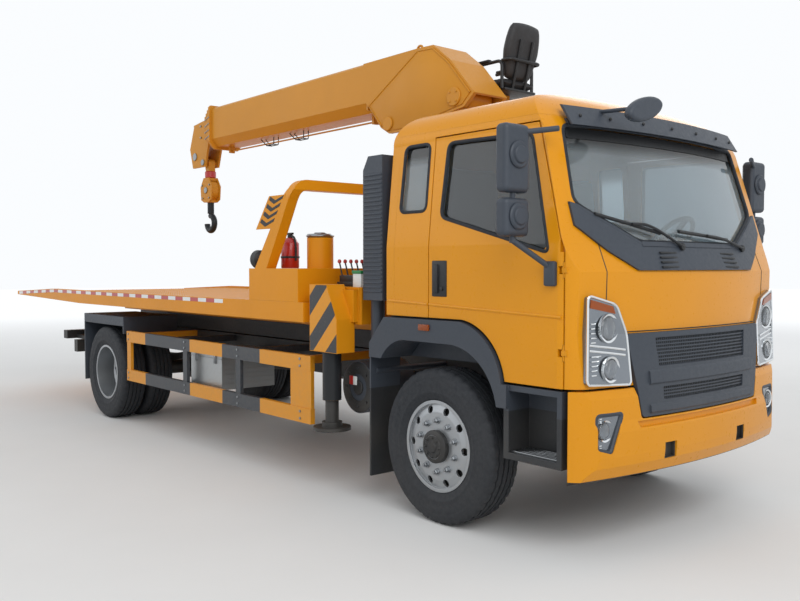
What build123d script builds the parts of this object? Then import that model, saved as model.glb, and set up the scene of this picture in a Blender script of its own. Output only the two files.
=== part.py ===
# Flatbed tow truck with a telescopic crane behind the cab.
# Millimetres. Drawn from the front axle: +X forward, +Y left, +Z up, ground at z = 0.
import os
from math import cos, radians, sin

from build123d import *

os.makedirs("parts", exist_ok=True)

# Overall layout
FRONT_REACH = 1280
REAR_REACH = 8170
WHEELBASE = 5300
AXLE_X = (REAR_REACH - FRONT_REACH) / 2
SIDES = (("right", -1), ("left", 1))

# Fits
SLIP = 0.3
PIN_FIT = 0.05
SWING_GAP = 8

# Wheels and axles
TYRE_R = 506
TYRE_W = 276
BEAD_W = 200
TREAD_W = 224
RIM_SEAT_R = 286
RIM_WALL = 10
FLANGE_R = 298.5
FLANGE_T = 10
HAND_HOLE_R = 25
HAND_HOLES = 10
FRONT_TRACK = 2000
TWIN_OUTER_Y = 1065
TWIN_PITCH = 310
KINGPIN_Y = 870
KINGPIN_R = 22
SPINDLE_R = 45
TWIN_SPINDLE_R = 60
TIE_ROD_BACK = 170
TIE_ROD_Z = 455

# Chassis
RAIL_OUT_Y = 430
RAIL_IN_Y = 350
RAIL_T = 10
RAIL_BOTTOM = 720
RAIL_TOP = 980
RAIL_FRONT_X = 1000
RAIL_REAR_X = -5940

# Cab
CAB_HALF_W = 1140
CAB_REAR_X = -480
CAB_BOTTOM = 990
CAB_WALL = 55
NOSE_R = 5200
NOSE_X = 1252
ROOF_SPLIT_Z = 2545
REAR_SPLIT_X = -400
DOOR_REAR_X = -60
DOOR_FRONT_X = 1044
DOOR_TOP_Z = 2505
DOOR_GAP = 8
HINGE_X = 1033
HINGE_Y = 1124
HINGE_R = 8
HINGE_HALF = 45
HINGE_HEIGHTS = (1190, 1650)
GLASS_INSET = 20
GLASS_T = 8

# Crane
CRANE_X = -1080
SLEW_Z = 1640
PIVOT_X = -800
PIVOT_Z = 2990
KNEE_X = -1600
KNEE_Z = 2880
LIFT_X = -1100
LIFT_Z = 1850
LIFT_PIN_R = 30
LIFT_ROD_R = 42
LIFT_BARREL_R = 68
BOOM_HALF_W = 185
BOOM_TOP_Z = 3445
BOOM_BOTTOM_Z = 3020
BOOM_MOUTH_X = -4730
BOOM_WALL = 12
COLLAR_RISE = 28
COLLAR_T = 30
STAGE_STEP = 25
STAGE_LAP = 75
STAGE_LENGTH = 2740
JACK_X = -1075
JACK_Y = 1170
JACK_LEG_R = 50
JACK_TUBE_R = 70
PAD_R = 140
PAD_Z = 470

# Bed
TILT_X = -5950
TILT_Z = 1035
TILT_PIN_R = 25
TILT_BASE_X = -2600
TILT_BASE_Z = 780
TILT_EYE_X = -3700
TILT_EYE_Z = 1060
TILT_CYL_Y = 250
BED_HALF_W = 1250
BED_RAIL_T = 60
BED_BOTTOM = 1250
BED_TOP = 1400
BED_SILL_Z = 1140
DECK_Z = 1374
DECK_T = 12
TAIL_KNEE_X = -6800


def box(x, y, z, mode=Mode.ADD):
    """Block between pairs of limits along each axis."""
    middle = [(a + b) / 2 for a, b in (x, y, z)]
    size = [abs(b - a) for a, b in (x, y, z)]
    with Locations(tuple(middle)):
        Box(*size, mode=mode)


def both(y, side):
    """Pair of limits |y| carried to one side of the truck."""
    return sorted((side * y[0], side * y[1]))


def within(limits, wall):
    """Pair of limits drawn in by a wall at both ends."""
    return (limits[0] + wall, limits[1] - wall)


def prism(points, y, mode=Mode.ADD, corner=0):
    """Side view outline (x, z), its corners rounded, carried across between two limits of y."""
    low, high = sorted(y)
    with BuildSketch(Plane((0, high, 0), x_dir=(1, 0, 0), z_dir=(0, -1, 0))) as outline:
        with BuildLine():
            Polyline(*points, close=True)
        make_face()
        if corner:
            fillet(outline.vertices(), corner)
    extrude(outline.sketch, amount=high - low, mode=mode)


def bar(points, x, mode=Mode.ADD, corner=0):
    """Front view outline (y, z), its corners rounded, carried along between two limits of x."""
    low, high = sorted(x)
    with BuildSketch(Plane((low, 0, 0), x_dir=(0, 1, 0), z_dir=(1, 0, 0))) as outline:
        with BuildLine():
            Polyline(*points, close=True)
        make_face()
        if corner:
            fillet(outline.vertices(), corner)
    extrude(outline.sketch, amount=high - low, mode=mode)


def slab(x, y, z, corner):
    """Block between pairs of limits with all its edges rounded."""
    with BuildPart(mode=Mode.PRIVATE) as block:
        box(x, y, z)
        fillet(block.edges(), corner)
    add(block.part)


def mirrored(half):
    """Closed front view outline from its left half (y, z), listed from bottom to top."""
    return half + [(-y, z) for y, z in reversed(half)]


def rod(start, end, radius, mode=Mode.ADD):
    """Round bar between two points."""
    run = Vector(*end) - Vector(*start)
    with Locations(Plane(start, z_dir=run)):
        Cylinder(radius, run.length, align=(Align.CENTER, Align.CENTER, Align.MIN), mode=mode)


def turned(points, x, mode=Mode.ADD):
    """Outline (radius, y) turned about a wheel's own axis."""
    with BuildSketch(Plane((x, 0, TYRE_R), x_dir=(1, 0, 0), z_dir=(0, 0, 1))) as outline:
        with BuildLine():
            Polyline(*points, close=True)
        make_face()
    revolve(outline.sketch, axis=Axis((x, 0, TYRE_R), (0, 1, 0)), mode=mode)


def save(piece, name):
    """Label a finished piece, carry it into the shared frame and write it."""
    placed = piece.part.moved(Location((AXLE_X, 0, 0)))
    placed.label = name
    export_step(placed, f"parts/{name}.step")


# Chassis frame: two channels, cross members and the lugs that the bed tilts on
CROSS_MEMBERS = (880, -1500, -2450, -4100, -4900, RAIL_REAR_X + 40)
with BuildPart() as chassis_frame:
    channel = [
        (RAIL_OUT_Y, RAIL_BOTTOM),
        (RAIL_OUT_Y, RAIL_TOP),
        (RAIL_IN_Y, RAIL_TOP),
        (RAIL_IN_Y, RAIL_TOP - RAIL_T),
        (RAIL_OUT_Y - RAIL_T, RAIL_TOP - RAIL_T),
        (RAIL_OUT_Y - RAIL_T, RAIL_BOTTOM + RAIL_T),
        (RAIL_IN_Y, RAIL_BOTTOM + RAIL_T),
        (RAIL_IN_Y, RAIL_BOTTOM),
    ]
    bar(channel, (RAIL_REAR_X, RAIL_FRONT_X))
    for x in CROSS_MEMBERS:
        box((x - 40, x + 40), (0, RAIL_OUT_Y - RAIL_T), (870, 960))
    box((TILT_X - 60, TILT_X + 70), (296, 330), (870, TILT_Z + 45))
    rod((TILT_X, 300, TILT_Z), (TILT_X, 424, TILT_Z), TILT_PIN_R)
    box((TILT_BASE_X - 50, TILT_BASE_X + 150), (TILT_CYL_Y - 90, TILT_CYL_Y - 68), (720, 900))
    box((TILT_BASE_X + 110, TILT_BASE_X + 190), (0, RAIL_OUT_Y - RAIL_T), (870, 960))
    rod((TILT_BASE_X, 165, TILT_BASE_Z), (TILT_BASE_X, 300, TILT_BASE_Z), 25)
    mirror(about=Plane.XZ)
save(chassis_frame, "chassis_frame")

# Front axle: dropped beam with kingpin eyes and two leaf springs
with BuildPart() as front_axle:
    half_beam = [
        (0, 400), (680, 400), (760, 455), (KINGPIN_Y, 455),
        (KINGPIN_Y, 555), (780, 555), (660, 490), (0, 490),
    ]
    bar(half_beam, (-40, 40))
    rod((0, KINGPIN_Y, 452), (0, KINGPIN_Y, 560), 42)
    rod((0, KINGPIN_Y, 440), (0, KINGPIN_Y, 570), KINGPIN_R + PIN_FIT, Mode.SUBTRACT)
    with BuildSketch(Plane((0, 425, 0), x_dir=(1, 0, 0), z_dir=(0, -1, 0))) as leaf:
        with BuildLine():
            ThreePointArc((-750, 660), (0, 495), (750, 660))
            Line((750, 660), (750, 690))
            ThreePointArc((750, 690), (0, 560), (-750, 690))
            Line((-750, 690), (-750, 660))
        make_face()
    extrude(leaf.sketch, amount=70)
    box((-60, 60), (355, 425), (480, 520))
    for x in (-740, 740):
        box((x - 40, x + 40), (355, 425), (640, RAIL_BOTTOM))
    mirror(about=Plane.XZ)
save(front_axle, "front_axle")

# Rear axle: tube, differential, spindles, leaf springs and drive shaft
with BuildPart() as rear_axle:
    rod((-WHEELBASE, 0, TYRE_R), (-WHEELBASE, 690, TYRE_R), 80)
    rod((-WHEELBASE, 0, TYRE_R), (-WHEELBASE, 980, TYRE_R), TWIN_SPINDLE_R)
    rod((-WHEELBASE - 130, 0, TYRE_R), (-WHEELBASE + 150, 0, TYRE_R), 190)
    with BuildSketch(Plane((-WHEELBASE, 520, 0), x_dir=(1, 0, 0), z_dir=(0, -1, 0))) as leaf:
        with BuildLine():
            ThreePointArc((-800, 760), (0, 590), (800, 760))
            Line((800, 760), (800, 790))
            ThreePointArc((800, 790), (0, 680), (-800, 790))
            Line((-800, 790), (-800, 760))
        make_face()
    extrude(leaf.sketch, amount=80)
    box((-WHEELBASE - 70, -WHEELBASE + 70), (440, 520), (560, 610))
    for x in (-790, 790):
        box((-WHEELBASE + x - 40, -WHEELBASE + x + 40), (RAIL_OUT_Y, 520), (730, 880))
    mirror(about=Plane.XZ)
    rod((-WHEELBASE + 140, 0, 545), (-1010, 0, 800), 45)
save(rear_axle, "rear_axle")

# Engine and gearbox as one plain block
with BuildPart() as powertrain:
    box((-300, 720), (-300, 300), (640, 1290))
    box((-1000, -300), (-210, 210), (660, 1000))
    for side in (-1, 1):
        box((200, 320), both((300, RAIL_OUT_Y - RAIL_T), side), (760, 820))
save(powertrain, "powertrain")

# Steering: knuckles turn on the kingpins and a tie rod joins their arms
for name, side in SIDES:
    with BuildPart() as knuckle:
        y = side * KINGPIN_Y
        rod((0, y, 400), (0, y, 612), KINGPIN_R)
        rod((0, y, 566), (0, y, 606), 50)
        rod((0, y, 406), (0, y, 446), 50)
        box((-60, 60), both((KINGPIN_Y + 48, KINGPIN_Y + 64), side), (406, 606))
        rod((0, y, 506), (0, side * (FRONT_TRACK / 2 + 95), TYRE_R), SPINDLE_R, Mode.ADD)
        box((-45, 45), both((KINGPIN_Y - 60, KINGPIN_Y + 46), side), (449, 563), Mode.SUBTRACT)
        rod((0, y, 440), (0, y, 570), 46, Mode.SUBTRACT)
        rod((0, y, 400), (0, y, 612), KINGPIN_R)
        box((-TIE_ROD_BACK - 30, 0), both((KINGPIN_Y - 25, KINGPIN_Y + 25), side), (408, 436))
        rod((-TIE_ROD_BACK, y, 430), (-TIE_ROD_BACK, y, 478), 14)
    save(knuckle, f"knuckle_{name}")

with BuildPart() as tie_rod:
    rod((-TIE_ROD_BACK, -KINGPIN_Y, TIE_ROD_Z), (-TIE_ROD_BACK, KINGPIN_Y, TIE_ROD_Z), 15)
    for side in (-1, 1):
        y = side * KINGPIN_Y
        rod((-TIE_ROD_BACK, y, 442), (-TIE_ROD_BACK, y, 468), 30)
        rod((-TIE_ROD_BACK, y, 430), (-TIE_ROD_BACK, y, 480), 14 + PIN_FIT, Mode.SUBTRACT)
save(tie_rod, "tie_rod")


def tyre(x, y):
    """Tyre with plain sidewalls and a flat tread."""
    shape = [
        (RIM_SEAT_R + SLIP, BEAD_W / 2),
        (0.83 * TYRE_R, TYRE_W / 2),
        (TYRE_R, TREAD_W / 2),
    ]
    outer = [(r, y + w) for r, w in shape]
    inner = [(r, y - w) for r, w in reversed(shape)]
    turned(outer + inner, x)


# Wheels: single in front, twin at the rear
SEAT_HALF = BEAD_W / 2 + 5
RIM_BORE_R = RIM_SEAT_R - RIM_WALL
for name, side in SIDES:
    y0 = side * FRONT_TRACK / 2
    with BuildPart() as front_tyre:
        tyre(0, y0)
    save(front_tyre, f"front_tyre_{name}")

    edge = SEAT_HALF + FLANGE_T
    dish = [
        (FLANGE_R, -edge), (FLANGE_R, -SEAT_HALF), (RIM_SEAT_R, -SEAT_HALF), (RIM_SEAT_R, SEAT_HALF),
        (FLANGE_R, SEAT_HALF), (FLANGE_R, edge), (RIM_BORE_R, edge), (RIM_BORE_R, 96), (222, 110),
        (105, 110), (105, 140), (85, 152), (0, 152), (0, 100), (SPINDLE_R + PIN_FIT, 100),
        (SPINDLE_R + PIN_FIT, -60), (90, -60), (90, 94), (215, 94), (264, 80), (RIM_BORE_R, 80),
        (RIM_BORE_R, -edge),
    ]
    with BuildPart() as front_rim:
        turned([(r, y0 + side * w) for r, w in dish], 0)
        with BuildSketch(Plane((0, y0 + side * 60, TYRE_R), x_dir=(1, 0, 0), z_dir=(0, side, 0))) as holes:
            with PolarLocations(242, HAND_HOLES):
                Circle(HAND_HOLE_R)
        extrude(holes.sketch, amount=70, mode=Mode.SUBTRACT)
    save(front_rim, f"front_rim_{name}")

    y1 = TWIN_OUTER_Y
    y2 = TWIN_OUTER_Y - TWIN_PITCH
    mid = (y1 + y2) / 2
    with BuildPart() as rear_tyres:
        tyre(-WHEELBASE, side * y1)
        tyre(-WHEELBASE, side * y2)
    save(rear_tyres, f"rear_tyres_{name}")

    twin = [
        (FLANGE_R, y2 - edge), (FLANGE_R, y2 - SEAT_HALF), (RIM_SEAT_R, y2 - SEAT_HALF),
        (RIM_SEAT_R, y2 + SEAT_HALF), (FLANGE_R, y2 + SEAT_HALF), (FLANGE_R, y2 + edge),
        (RIM_BORE_R, y2 + edge), (RIM_BORE_R, mid - 48), (222, mid), (RIM_BORE_R, mid + 48),
        (RIM_BORE_R, y1 - edge), (FLANGE_R, y1 - edge), (FLANGE_R, y1 - SEAT_HALF),
        (RIM_SEAT_R, y1 - SEAT_HALF), (RIM_SEAT_R, y1 + SEAT_HALF), (FLANGE_R, y1 + SEAT_HALF),
        (FLANGE_R, y1 + edge), (RIM_BORE_R, y1 + edge), (RIM_BORE_R, mid + 75), (215, mid + 12),
        (125, mid + 12), (125, mid + 100), (105, mid + 120), (0, mid + 120), (0, 985),
        (TWIN_SPINDLE_R + PIN_FIT, 985), (TWIN_SPINDLE_R + PIN_FIT, 700), (110, 700), (110, mid - 12),
        (215, mid - 12), (RIM_BORE_R, mid - 75), (RIM_BORE_R, y2 - edge),
    ]
    with BuildPart() as rear_rims:
        turned([(r, side * w) for r, w in twin], -WHEELBASE)
        hole_plane = Plane((-WHEELBASE, side * (mid - 70), TYRE_R), x_dir=(1, 0, 0), z_dir=(0, side, 0))
        with BuildSketch(hole_plane) as holes:
            with PolarLocations(243, HAND_HOLES):
                Circle(HAND_HOLE_R)
        extrude(holes.sketch, amount=150, mode=Mode.SUBTRACT)
    save(rear_rims, f"rear_rims_{name}")


# Cab: one form drawn in side view and front view, then split where its panels meet
NOSE_AXIS_X = NOSE_X - NOSE_R
NOSE_SWEEP = 14
NOSE_LINE = [(1246, 700), (1236, CAB_BOTTOM), (1214, 1290), (1222, 1640), (1160, 1800), (960, 2470)]


def nose_plane():
    """Plane through the nose's upright turning axis, at the right end of its sweep."""
    a = radians(NOSE_SWEEP)
    return Plane((NOSE_AXIS_X, 0, 0), x_dir=(cos(a), -sin(a), 0), z_dir=(-sin(a), -cos(a), 0))


def nose(points, mode=Mode.ADD):
    """Centre line outline (x, z) turned about the nose's upright axis."""
    with BuildSketch(nose_plane()) as outline:
        with BuildLine():
            Polyline(*[(x - NOSE_AXIS_X, z) for x, z in points], close=True)
        make_face()
    upright = Axis((NOSE_AXIS_X, 0, 0), (0, 0, 1))
    revolve(outline.sketch, axis=upright, revolution_arc=2 * NOSE_SWEEP, mode=mode)


def cab_form(inset):
    """Closed form of the cab, drawn in by an inset."""
    with BuildPart() as form:
        # the nose, windscreen and roof line, turned about the nose's axis
        with BuildSketch(Plane((NOSE_AXIS_X, 0, 0), x_dir=(1, 0, 0), z_dir=(0, -1, 0))) as nose_view:
            with BuildLine():
                Polyline((1200, 2610), (1200, 700), *[(x - NOSE_AXIS_X, z) for x, z in NOSE_LINE])
                ThreePointArc((960 - NOSE_AXIS_X, 2470), (790 - NOSE_AXIS_X, 2670), (520 - NOSE_AXIS_X, 2745))
                Line((520 - NOSE_AXIS_X, 2745), (1200, 2610))
            make_face()
            if inset:
                offset(amount=-inset, mode=Mode.REPLACE)
        revolve(nose_view.sketch, axis=Axis((NOSE_AXIS_X, 0, 0), (0, 0, 1)))
        # the floor line with the wheel arch, and the rear wall, straight across
        with BuildSketch(Plane((0, 2000, 0), x_dir=(1, 0, 0), z_dir=(0, -1, 0))) as side_view:
            with BuildLine():
                Polyline((CAB_REAR_X, 2480), (CAB_REAR_X, 1340), (250, 1340))
                ThreePointArc((250, 1340), (500, 1215), (610, CAB_BOTTOM))
                Polyline((610, CAB_BOTTOM), (1500, CAB_BOTTOM), (1500, 2860), (-320, 2680))
                ThreePointArc((-320, 2680), (-440, 2600), (CAB_REAR_X, 2480))
            make_face()
            if inset:
                offset(amount=-inset, mode=Mode.REPLACE)
        extrude(side_view.sketch, amount=4000, mode=Mode.INTERSECT)
        # the flanks, leaning in above the sill
        with BuildSketch(Plane((CAB_REAR_X - 100, 0, 0), x_dir=(0, 1, 0), z_dir=(1, 0, 0))) as front_view:
            with BuildLine():
                Polyline((-1075, 2480), (-CAB_HALF_W, 1800), (-CAB_HALF_W, 800), (CAB_HALF_W, 800),
                         (CAB_HALF_W, 1800), (1075, 2480))
                ThreePointArc((1075, 2480), (1035, 2620), (920, 2690))
                ThreePointArc((920, 2690), (0, 2765), (-920, 2690))
                ThreePointArc((-920, 2690), (-1035, 2620), (-1075, 2480))
            make_face()
            if inset:
                offset(amount=-inset, mode=Mode.REPLACE)
        extrude(front_view.sketch, amount=2400, mode=Mode.INTERSECT)
        # the round corners, seen from above
        with BuildSketch() as plan_view:
            with BuildLine():
                Polyline((-900, -1500), (-900, 1500), (600, 1500), (1000, CAB_HALF_W))
                ThreePointArc((1000, CAB_HALF_W), (1092, 1098), (1142, 1010))
                Polyline((1142, 1010), (1400, 300), (1400, -300), (1142, -1010))
                ThreePointArc((1142, -1010), (1092, -1098), (1000, -CAB_HALF_W))
                Polyline((1000, -CAB_HALF_W), (600, -1500), (-900, -1500))
            make_face()
            if inset:
                offset(amount=-inset, mode=Mode.REPLACE)
        extrude(plan_view.sketch, amount=3000, mode=Mode.INTERSECT)
    return form.part


def cab_shell(near, far):
    """Skin of the cab between two insets."""
    with BuildPart() as skin:
        add(cab_form(near))
        add(cab_form(far), mode=Mode.SUBTRACT)
    return skin.part


DOOR_TOP_FRONT_X = 815
DOOR_SILL_Z = 1760
PILLAR_DEPTH = 75
BELOW_CAB = CAB_BOTTOM - 90
FLOOR_TOP = 1600
FAR = 3000
SIDE_IN_Y = CAB_HALF_W - CAB_WALL
TUNNEL_Y = 345


def door_outline(gap):
    """Side view outline of a door opening, drawn in by a gap."""
    return [
        (DOOR_REAR_X + gap, BELOW_CAB), (DOOR_REAR_X + gap, DOOR_TOP_Z - gap),
        (DOOR_TOP_FRONT_X - gap, DOOR_TOP_Z - gap), (DOOR_FRONT_X - gap, DOOR_SILL_Z),
        (DOOR_FRONT_X - gap, BELOW_CAB),
    ]


def door_zone(gap):
    """Room that a door takes out of each flank; the gap draws the door in on all sides."""
    with BuildPart() as zone:
        prism(door_outline(gap), (-FAR, FAR))
        inner = SIDE_IN_Y - DOOR_GAP + gap
        for_one = [
            (inner, BELOW_CAB), (inner, 1796), (inner - 66, 2480), (inner - 80, 2600),
            (FAR, 2600), (FAR, BELOW_CAB),
        ]
        with BuildPart(mode=Mode.PRIVATE) as flanks:
            bar(for_one, (-FAR, FAR))
            mirror(about=Plane.XZ)
        add(flanks.part, mode=Mode.INTERSECT)
    return zone.part


CAB_FRONT_LINE = [
    (DOOR_FRONT_X - PILLAR_DEPTH, BELOW_CAB), (DOOR_FRONT_X - PILLAR_DEPTH, DOOR_SILL_Z),
    (DOOR_TOP_FRONT_X - PILLAR_DEPTH, ROOF_SPLIT_Z),
]
DOOR_WINDOW = [(68, 2455), (40, 1985), (940, 1745), (760, 2440)]
QUARTER_WINDOW = [(-364, 2030), (-105, 2030), (-105, 2470), (-350, 2470)]
WINDSCREEN = mirrored([(540, 1815), (880, 1975), (990, 2035), (938, 2490)])
WINDOW_CORNER = 40
PILLAR_RELIEF_R = 20


def drawn_in(points, gap):
    """Window outline shrunk toward its middle by a gap on each side."""
    u0 = sum(u for u, _ in points) / len(points)
    v0 = sum(v for _, v in points) / len(points)
    return [(u - gap * (1 if u > u0 else -1), v - gap * (2 if v > v0 else -2)) for u, v in points]


skin = cab_shell(0, CAB_WALL)
pane = cab_shell(GLASS_INSET, GLASS_INSET + GLASS_T)
clear_of_cab = cab_form(-SLIP)
door_room = door_zone(0)
door_bounds = door_zone(DOOR_GAP)

with BuildPart() as cab_roof:
    add(skin)
    box((-FAR, FAR), (-FAR, FAR), (ROOF_SPLIT_Z, FAR), Mode.INTERSECT)
save(cab_roof, "cab_roof")

with BuildPart() as cab_rear:
    add(skin)
    box((-FAR, REAR_SPLIT_X), (-FAR, FAR), (0, ROOF_SPLIT_Z), Mode.INTERSECT)
save(cab_rear, "cab_rear")

with BuildPart() as cab_front:
    add(skin)
    prism(CAB_FRONT_LINE + [(FAR, ROOF_SPLIT_Z), (FAR, BELOW_CAB)], (-FAR, FAR), Mode.INTERSECT)
    add(door_room, mode=Mode.SUBTRACT)
    bar(WINDSCREEN, (500, FAR), Mode.SUBTRACT, WINDOW_CORNER)
    for side in (-1, 1):
        for z in HINGE_HEIGHTS:
            box((HINGE_X - 10, DOOR_FRONT_X + 16), both((HINGE_Y - 9, HINGE_Y + 9), side), (z - 15, z + 15))
            pin_line = [(HINGE_X, side * HINGE_Y, z + end * HINGE_HALF) for end in (-1, 1)]
            rod(*pin_line, HINGE_R)
save(cab_front, "cab_front")

with BuildPart() as cab_floor:
    add(skin)
    floor_y = (-SIDE_IN_Y + DOOR_GAP, SIDE_IN_Y - DOOR_GAP)
    box((REAR_SPLIT_X, CAB_FRONT_LINE[0][0]), floor_y, (BELOW_CAB, FLOOR_TOP), Mode.INTERSECT)
    box((150, 770), (-TUNNEL_Y, TUNNEL_Y), (CAB_BOTTOM, 1395))
    box((0, 740), (-TUNNEL_Y + 30, TUNNEL_Y - 30), (0, 1300), Mode.SUBTRACT)
    for side in (-1, 1):
        box((-395, -315), both((RAIL_IN_Y, RAIL_OUT_Y), side), (RAIL_TOP, 1360))
        box((880, 960), both((RAIL_IN_Y, RAIL_OUT_Y), side), (RAIL_TOP, CAB_BOTTOM + 20))
save(cab_floor, "cab_floor")

with BuildPart() as cab_sides:
    add(skin)
    prism(
        [(REAR_SPLIT_X, BELOW_CAB), (REAR_SPLIT_X, ROOF_SPLIT_Z)] + CAB_FRONT_LINE[::-1],
        (-FAR, FAR),
        Mode.INTERSECT,
    )
    box((-FAR, FAR), floor_y, (0, FLOOR_TOP), Mode.SUBTRACT)
    add(door_room, mode=Mode.SUBTRACT)
    prism(QUARTER_WINDOW, (-FAR, FAR), Mode.SUBTRACT, WINDOW_CORNER)
save(cab_sides, "cab_sides")

with BuildPart() as cab_glass:
    add(pane)
    with BuildPart(mode=Mode.PRIVATE) as window_cuts:
        bar(drawn_in(WINDSCREEN, SLIP), (600, FAR), corner=WINDOW_CORNER)
        prism(drawn_in(QUARTER_WINDOW, SLIP), (-FAR, FAR), corner=WINDOW_CORNER)
    add(window_cuts.part, mode=Mode.INTERSECT)
save(cab_glass, "cab_glass")

MIRROR_HEIGHTS = ((2075, 2450), (1835, 2045))
MIRROR_CORNER = 30
for name, side in SIDES:
    with BuildPart() as door:
        add(skin)
        add(door_bounds, mode=Mode.INTERSECT)
        box((-FAR, FAR), both((0, FAR), side), (0, FAR), Mode.INTERSECT)
        prism(DOOR_WINDOW, (-FAR, FAR), Mode.SUBTRACT, WINDOW_CORNER)
        hinge_line = [(HINGE_X, side * HINGE_Y, z) for z in (DOOR_SILL_Z - 10, DOOR_SILL_Z + 55)]
        rod(*hinge_line, PILLAR_RELIEF_R, Mode.SUBTRACT)
        for z in HINGE_HEIGHTS:
            box((HINGE_X - 28, FAR), both((HINGE_Y - 26, FAR), side), (z - 21, z + 21), Mode.SUBTRACT)
            bore_line = [(HINGE_X, side * HINGE_Y, z + end * (HINGE_HALF + 2)) for end in (-1, 1)]
            rod(*bore_line, HINGE_R + PIN_FIT, Mode.SUBTRACT)
    save(door, f"door_{name}")
    with BuildPart() as door_glass:
        add(pane)
        prism(drawn_in(DOOR_WINDOW, SLIP), both((900, FAR), side), Mode.INTERSECT, WINDOW_CORNER)
    save(door_glass, f"door_glass_{name}")
    with BuildPart() as mirrors:
        for low, high in MIRROR_HEIGHTS:
            slab((800, 890), both((1240, 1440), side), (low, high), MIRROR_CORNER)
        rod((845, side * 1340, 2400), (955, side * 1085, 2440), 16)
        rod((845, side * 1340, 1800), (845, side * 1340, 2440), 16)
        rod((845, side * 1340, 1815), (975, side * (CAB_HALF_W - 20), 1640), 16)
        add(clear_of_cab, mode=Mode.SUBTRACT)
    save(mirrors, f"mirrors_{name}")

# Front trim: a cowl under the windscreen and a slatted grille


def skin_x(z):
    """Where the nose's centre line stands at a height."""
    for (x0, z0), (x1, z1) in zip(NOSE_LINE, NOSE_LINE[1:]):
        if z <= z1:
            return x0 + (x1 - x0) * (z - z0) / (z1 - z0)
    return NOSE_LINE[-1][0]


def nose_band(low, high, near, far):
    """Outline of a band laid on the nose between two heights, from near to far off its skin."""
    levels = [low] + [z for _, z in NOSE_LINE if low < z < high] + [high]
    return [(skin_x(z) + near, z) for z in levels] + [(skin_x(z) + far, z) for z in reversed(levels)]


GRILLE = mirrored([(645, 805), (755, 1288)])
# half width and height at the foot, half width and height at the top, bars
GRILLE_PANELS = ((455, 893, 465, 968, 3), (490, 1090, 515, 1255, 7))
GRILLE_BAR = 9
GRILLE_DEPTH = 26
GRILLE_MARGIN = 8
# foot and top of each rail that stands out across the grille
GRILLE_RAILS = ((815, 880), (982, 1076))
RAIL_HALF_W = 585
RAIL_PROUD = 38
RAIL_BEVEL = 16
COWL = mirrored([
    (640, 1648), (830, 1752), (1035, 1900), (1035, 2034), (984, 2022), (878, 1967), (536, 1807),
])
with BuildPart() as front_trim:
    nose(nose_band(GRILLE[0][1] - 15, GRILLE[1][1] + 15, SLIP, 12))
    with BuildPart(mode=Mode.PRIVATE) as surround:
        nose(nose_band(GRILLE[0][1] - 15, GRILLE[1][1] + 15, 10, GRILLE_DEPTH))
        for low_w, low_z, high_w, high_z, _ in GRILLE_PANELS:
            bar(mirrored([(low_w, low_z), (high_w, high_z)]), (900, FAR), Mode.SUBTRACT, 10)
    add(surround.part)
    for _, low_z, _, high_z, count in GRILLE_PANELS:
        for k in range(count):
            z = low_z + (high_z - low_z) * (k + 1) / (count + 1)
            nose(nose_band(z - GRILLE_BAR / 2, z + GRILLE_BAR / 2, 10, GRILLE_DEPTH - 8))
    with BuildPart(mode=Mode.PRIVATE) as rails:
        for low, high in GRILLE_RAILS:
            nose([
                (skin_x(low) + GRILLE_DEPTH - 4, low),
                (skin_x(low) + RAIL_PROUD, low + RAIL_BEVEL),
                (skin_x(high) + RAIL_PROUD, high - RAIL_BEVEL),
                (skin_x(high) + GRILLE_DEPTH - 4, high),
            ])
        box((900, FAR), (-RAIL_HALF_W, RAIL_HALF_W), (0, FAR), Mode.INTERSECT)
    add(rails.part)
    bar(GRILLE, (900, FAR), Mode.INTERSECT, 25)
    with BuildPart(mode=Mode.PRIVATE) as cowl:
        nose(nose_band(1600, 2060, SLIP, 16))
        bar(COWL, (500, FAR), Mode.INTERSECT)
    add(cowl.part)
save(front_trim, "front_trim")

BUMPER_TOP = CAB_BOTTOM - 12
BUMPER_REAR_X = DOOR_FRONT_X + 26
BUMPER_HALF_W = CAB_HALF_W - 10
BUMPER_FACE = [
    (900, 490), (1120, 430), (1236, 472), (NOSE_X + 22, 545), (NOSE_X + 28, 600), (NOSE_X + 28, 735),
    (NOSE_X + 16, 800), (NOSE_X + 12, 930), (1246, BUMPER_TOP), (900, BUMPER_TOP),
]
BUMPER_INSIDE = [
    (800, 400), (1110, 400), (1185, 500), (NOSE_X - 24, 610), (NOSE_X - 28, 800), (1212, FAR), (800, FAR),
]
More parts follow.
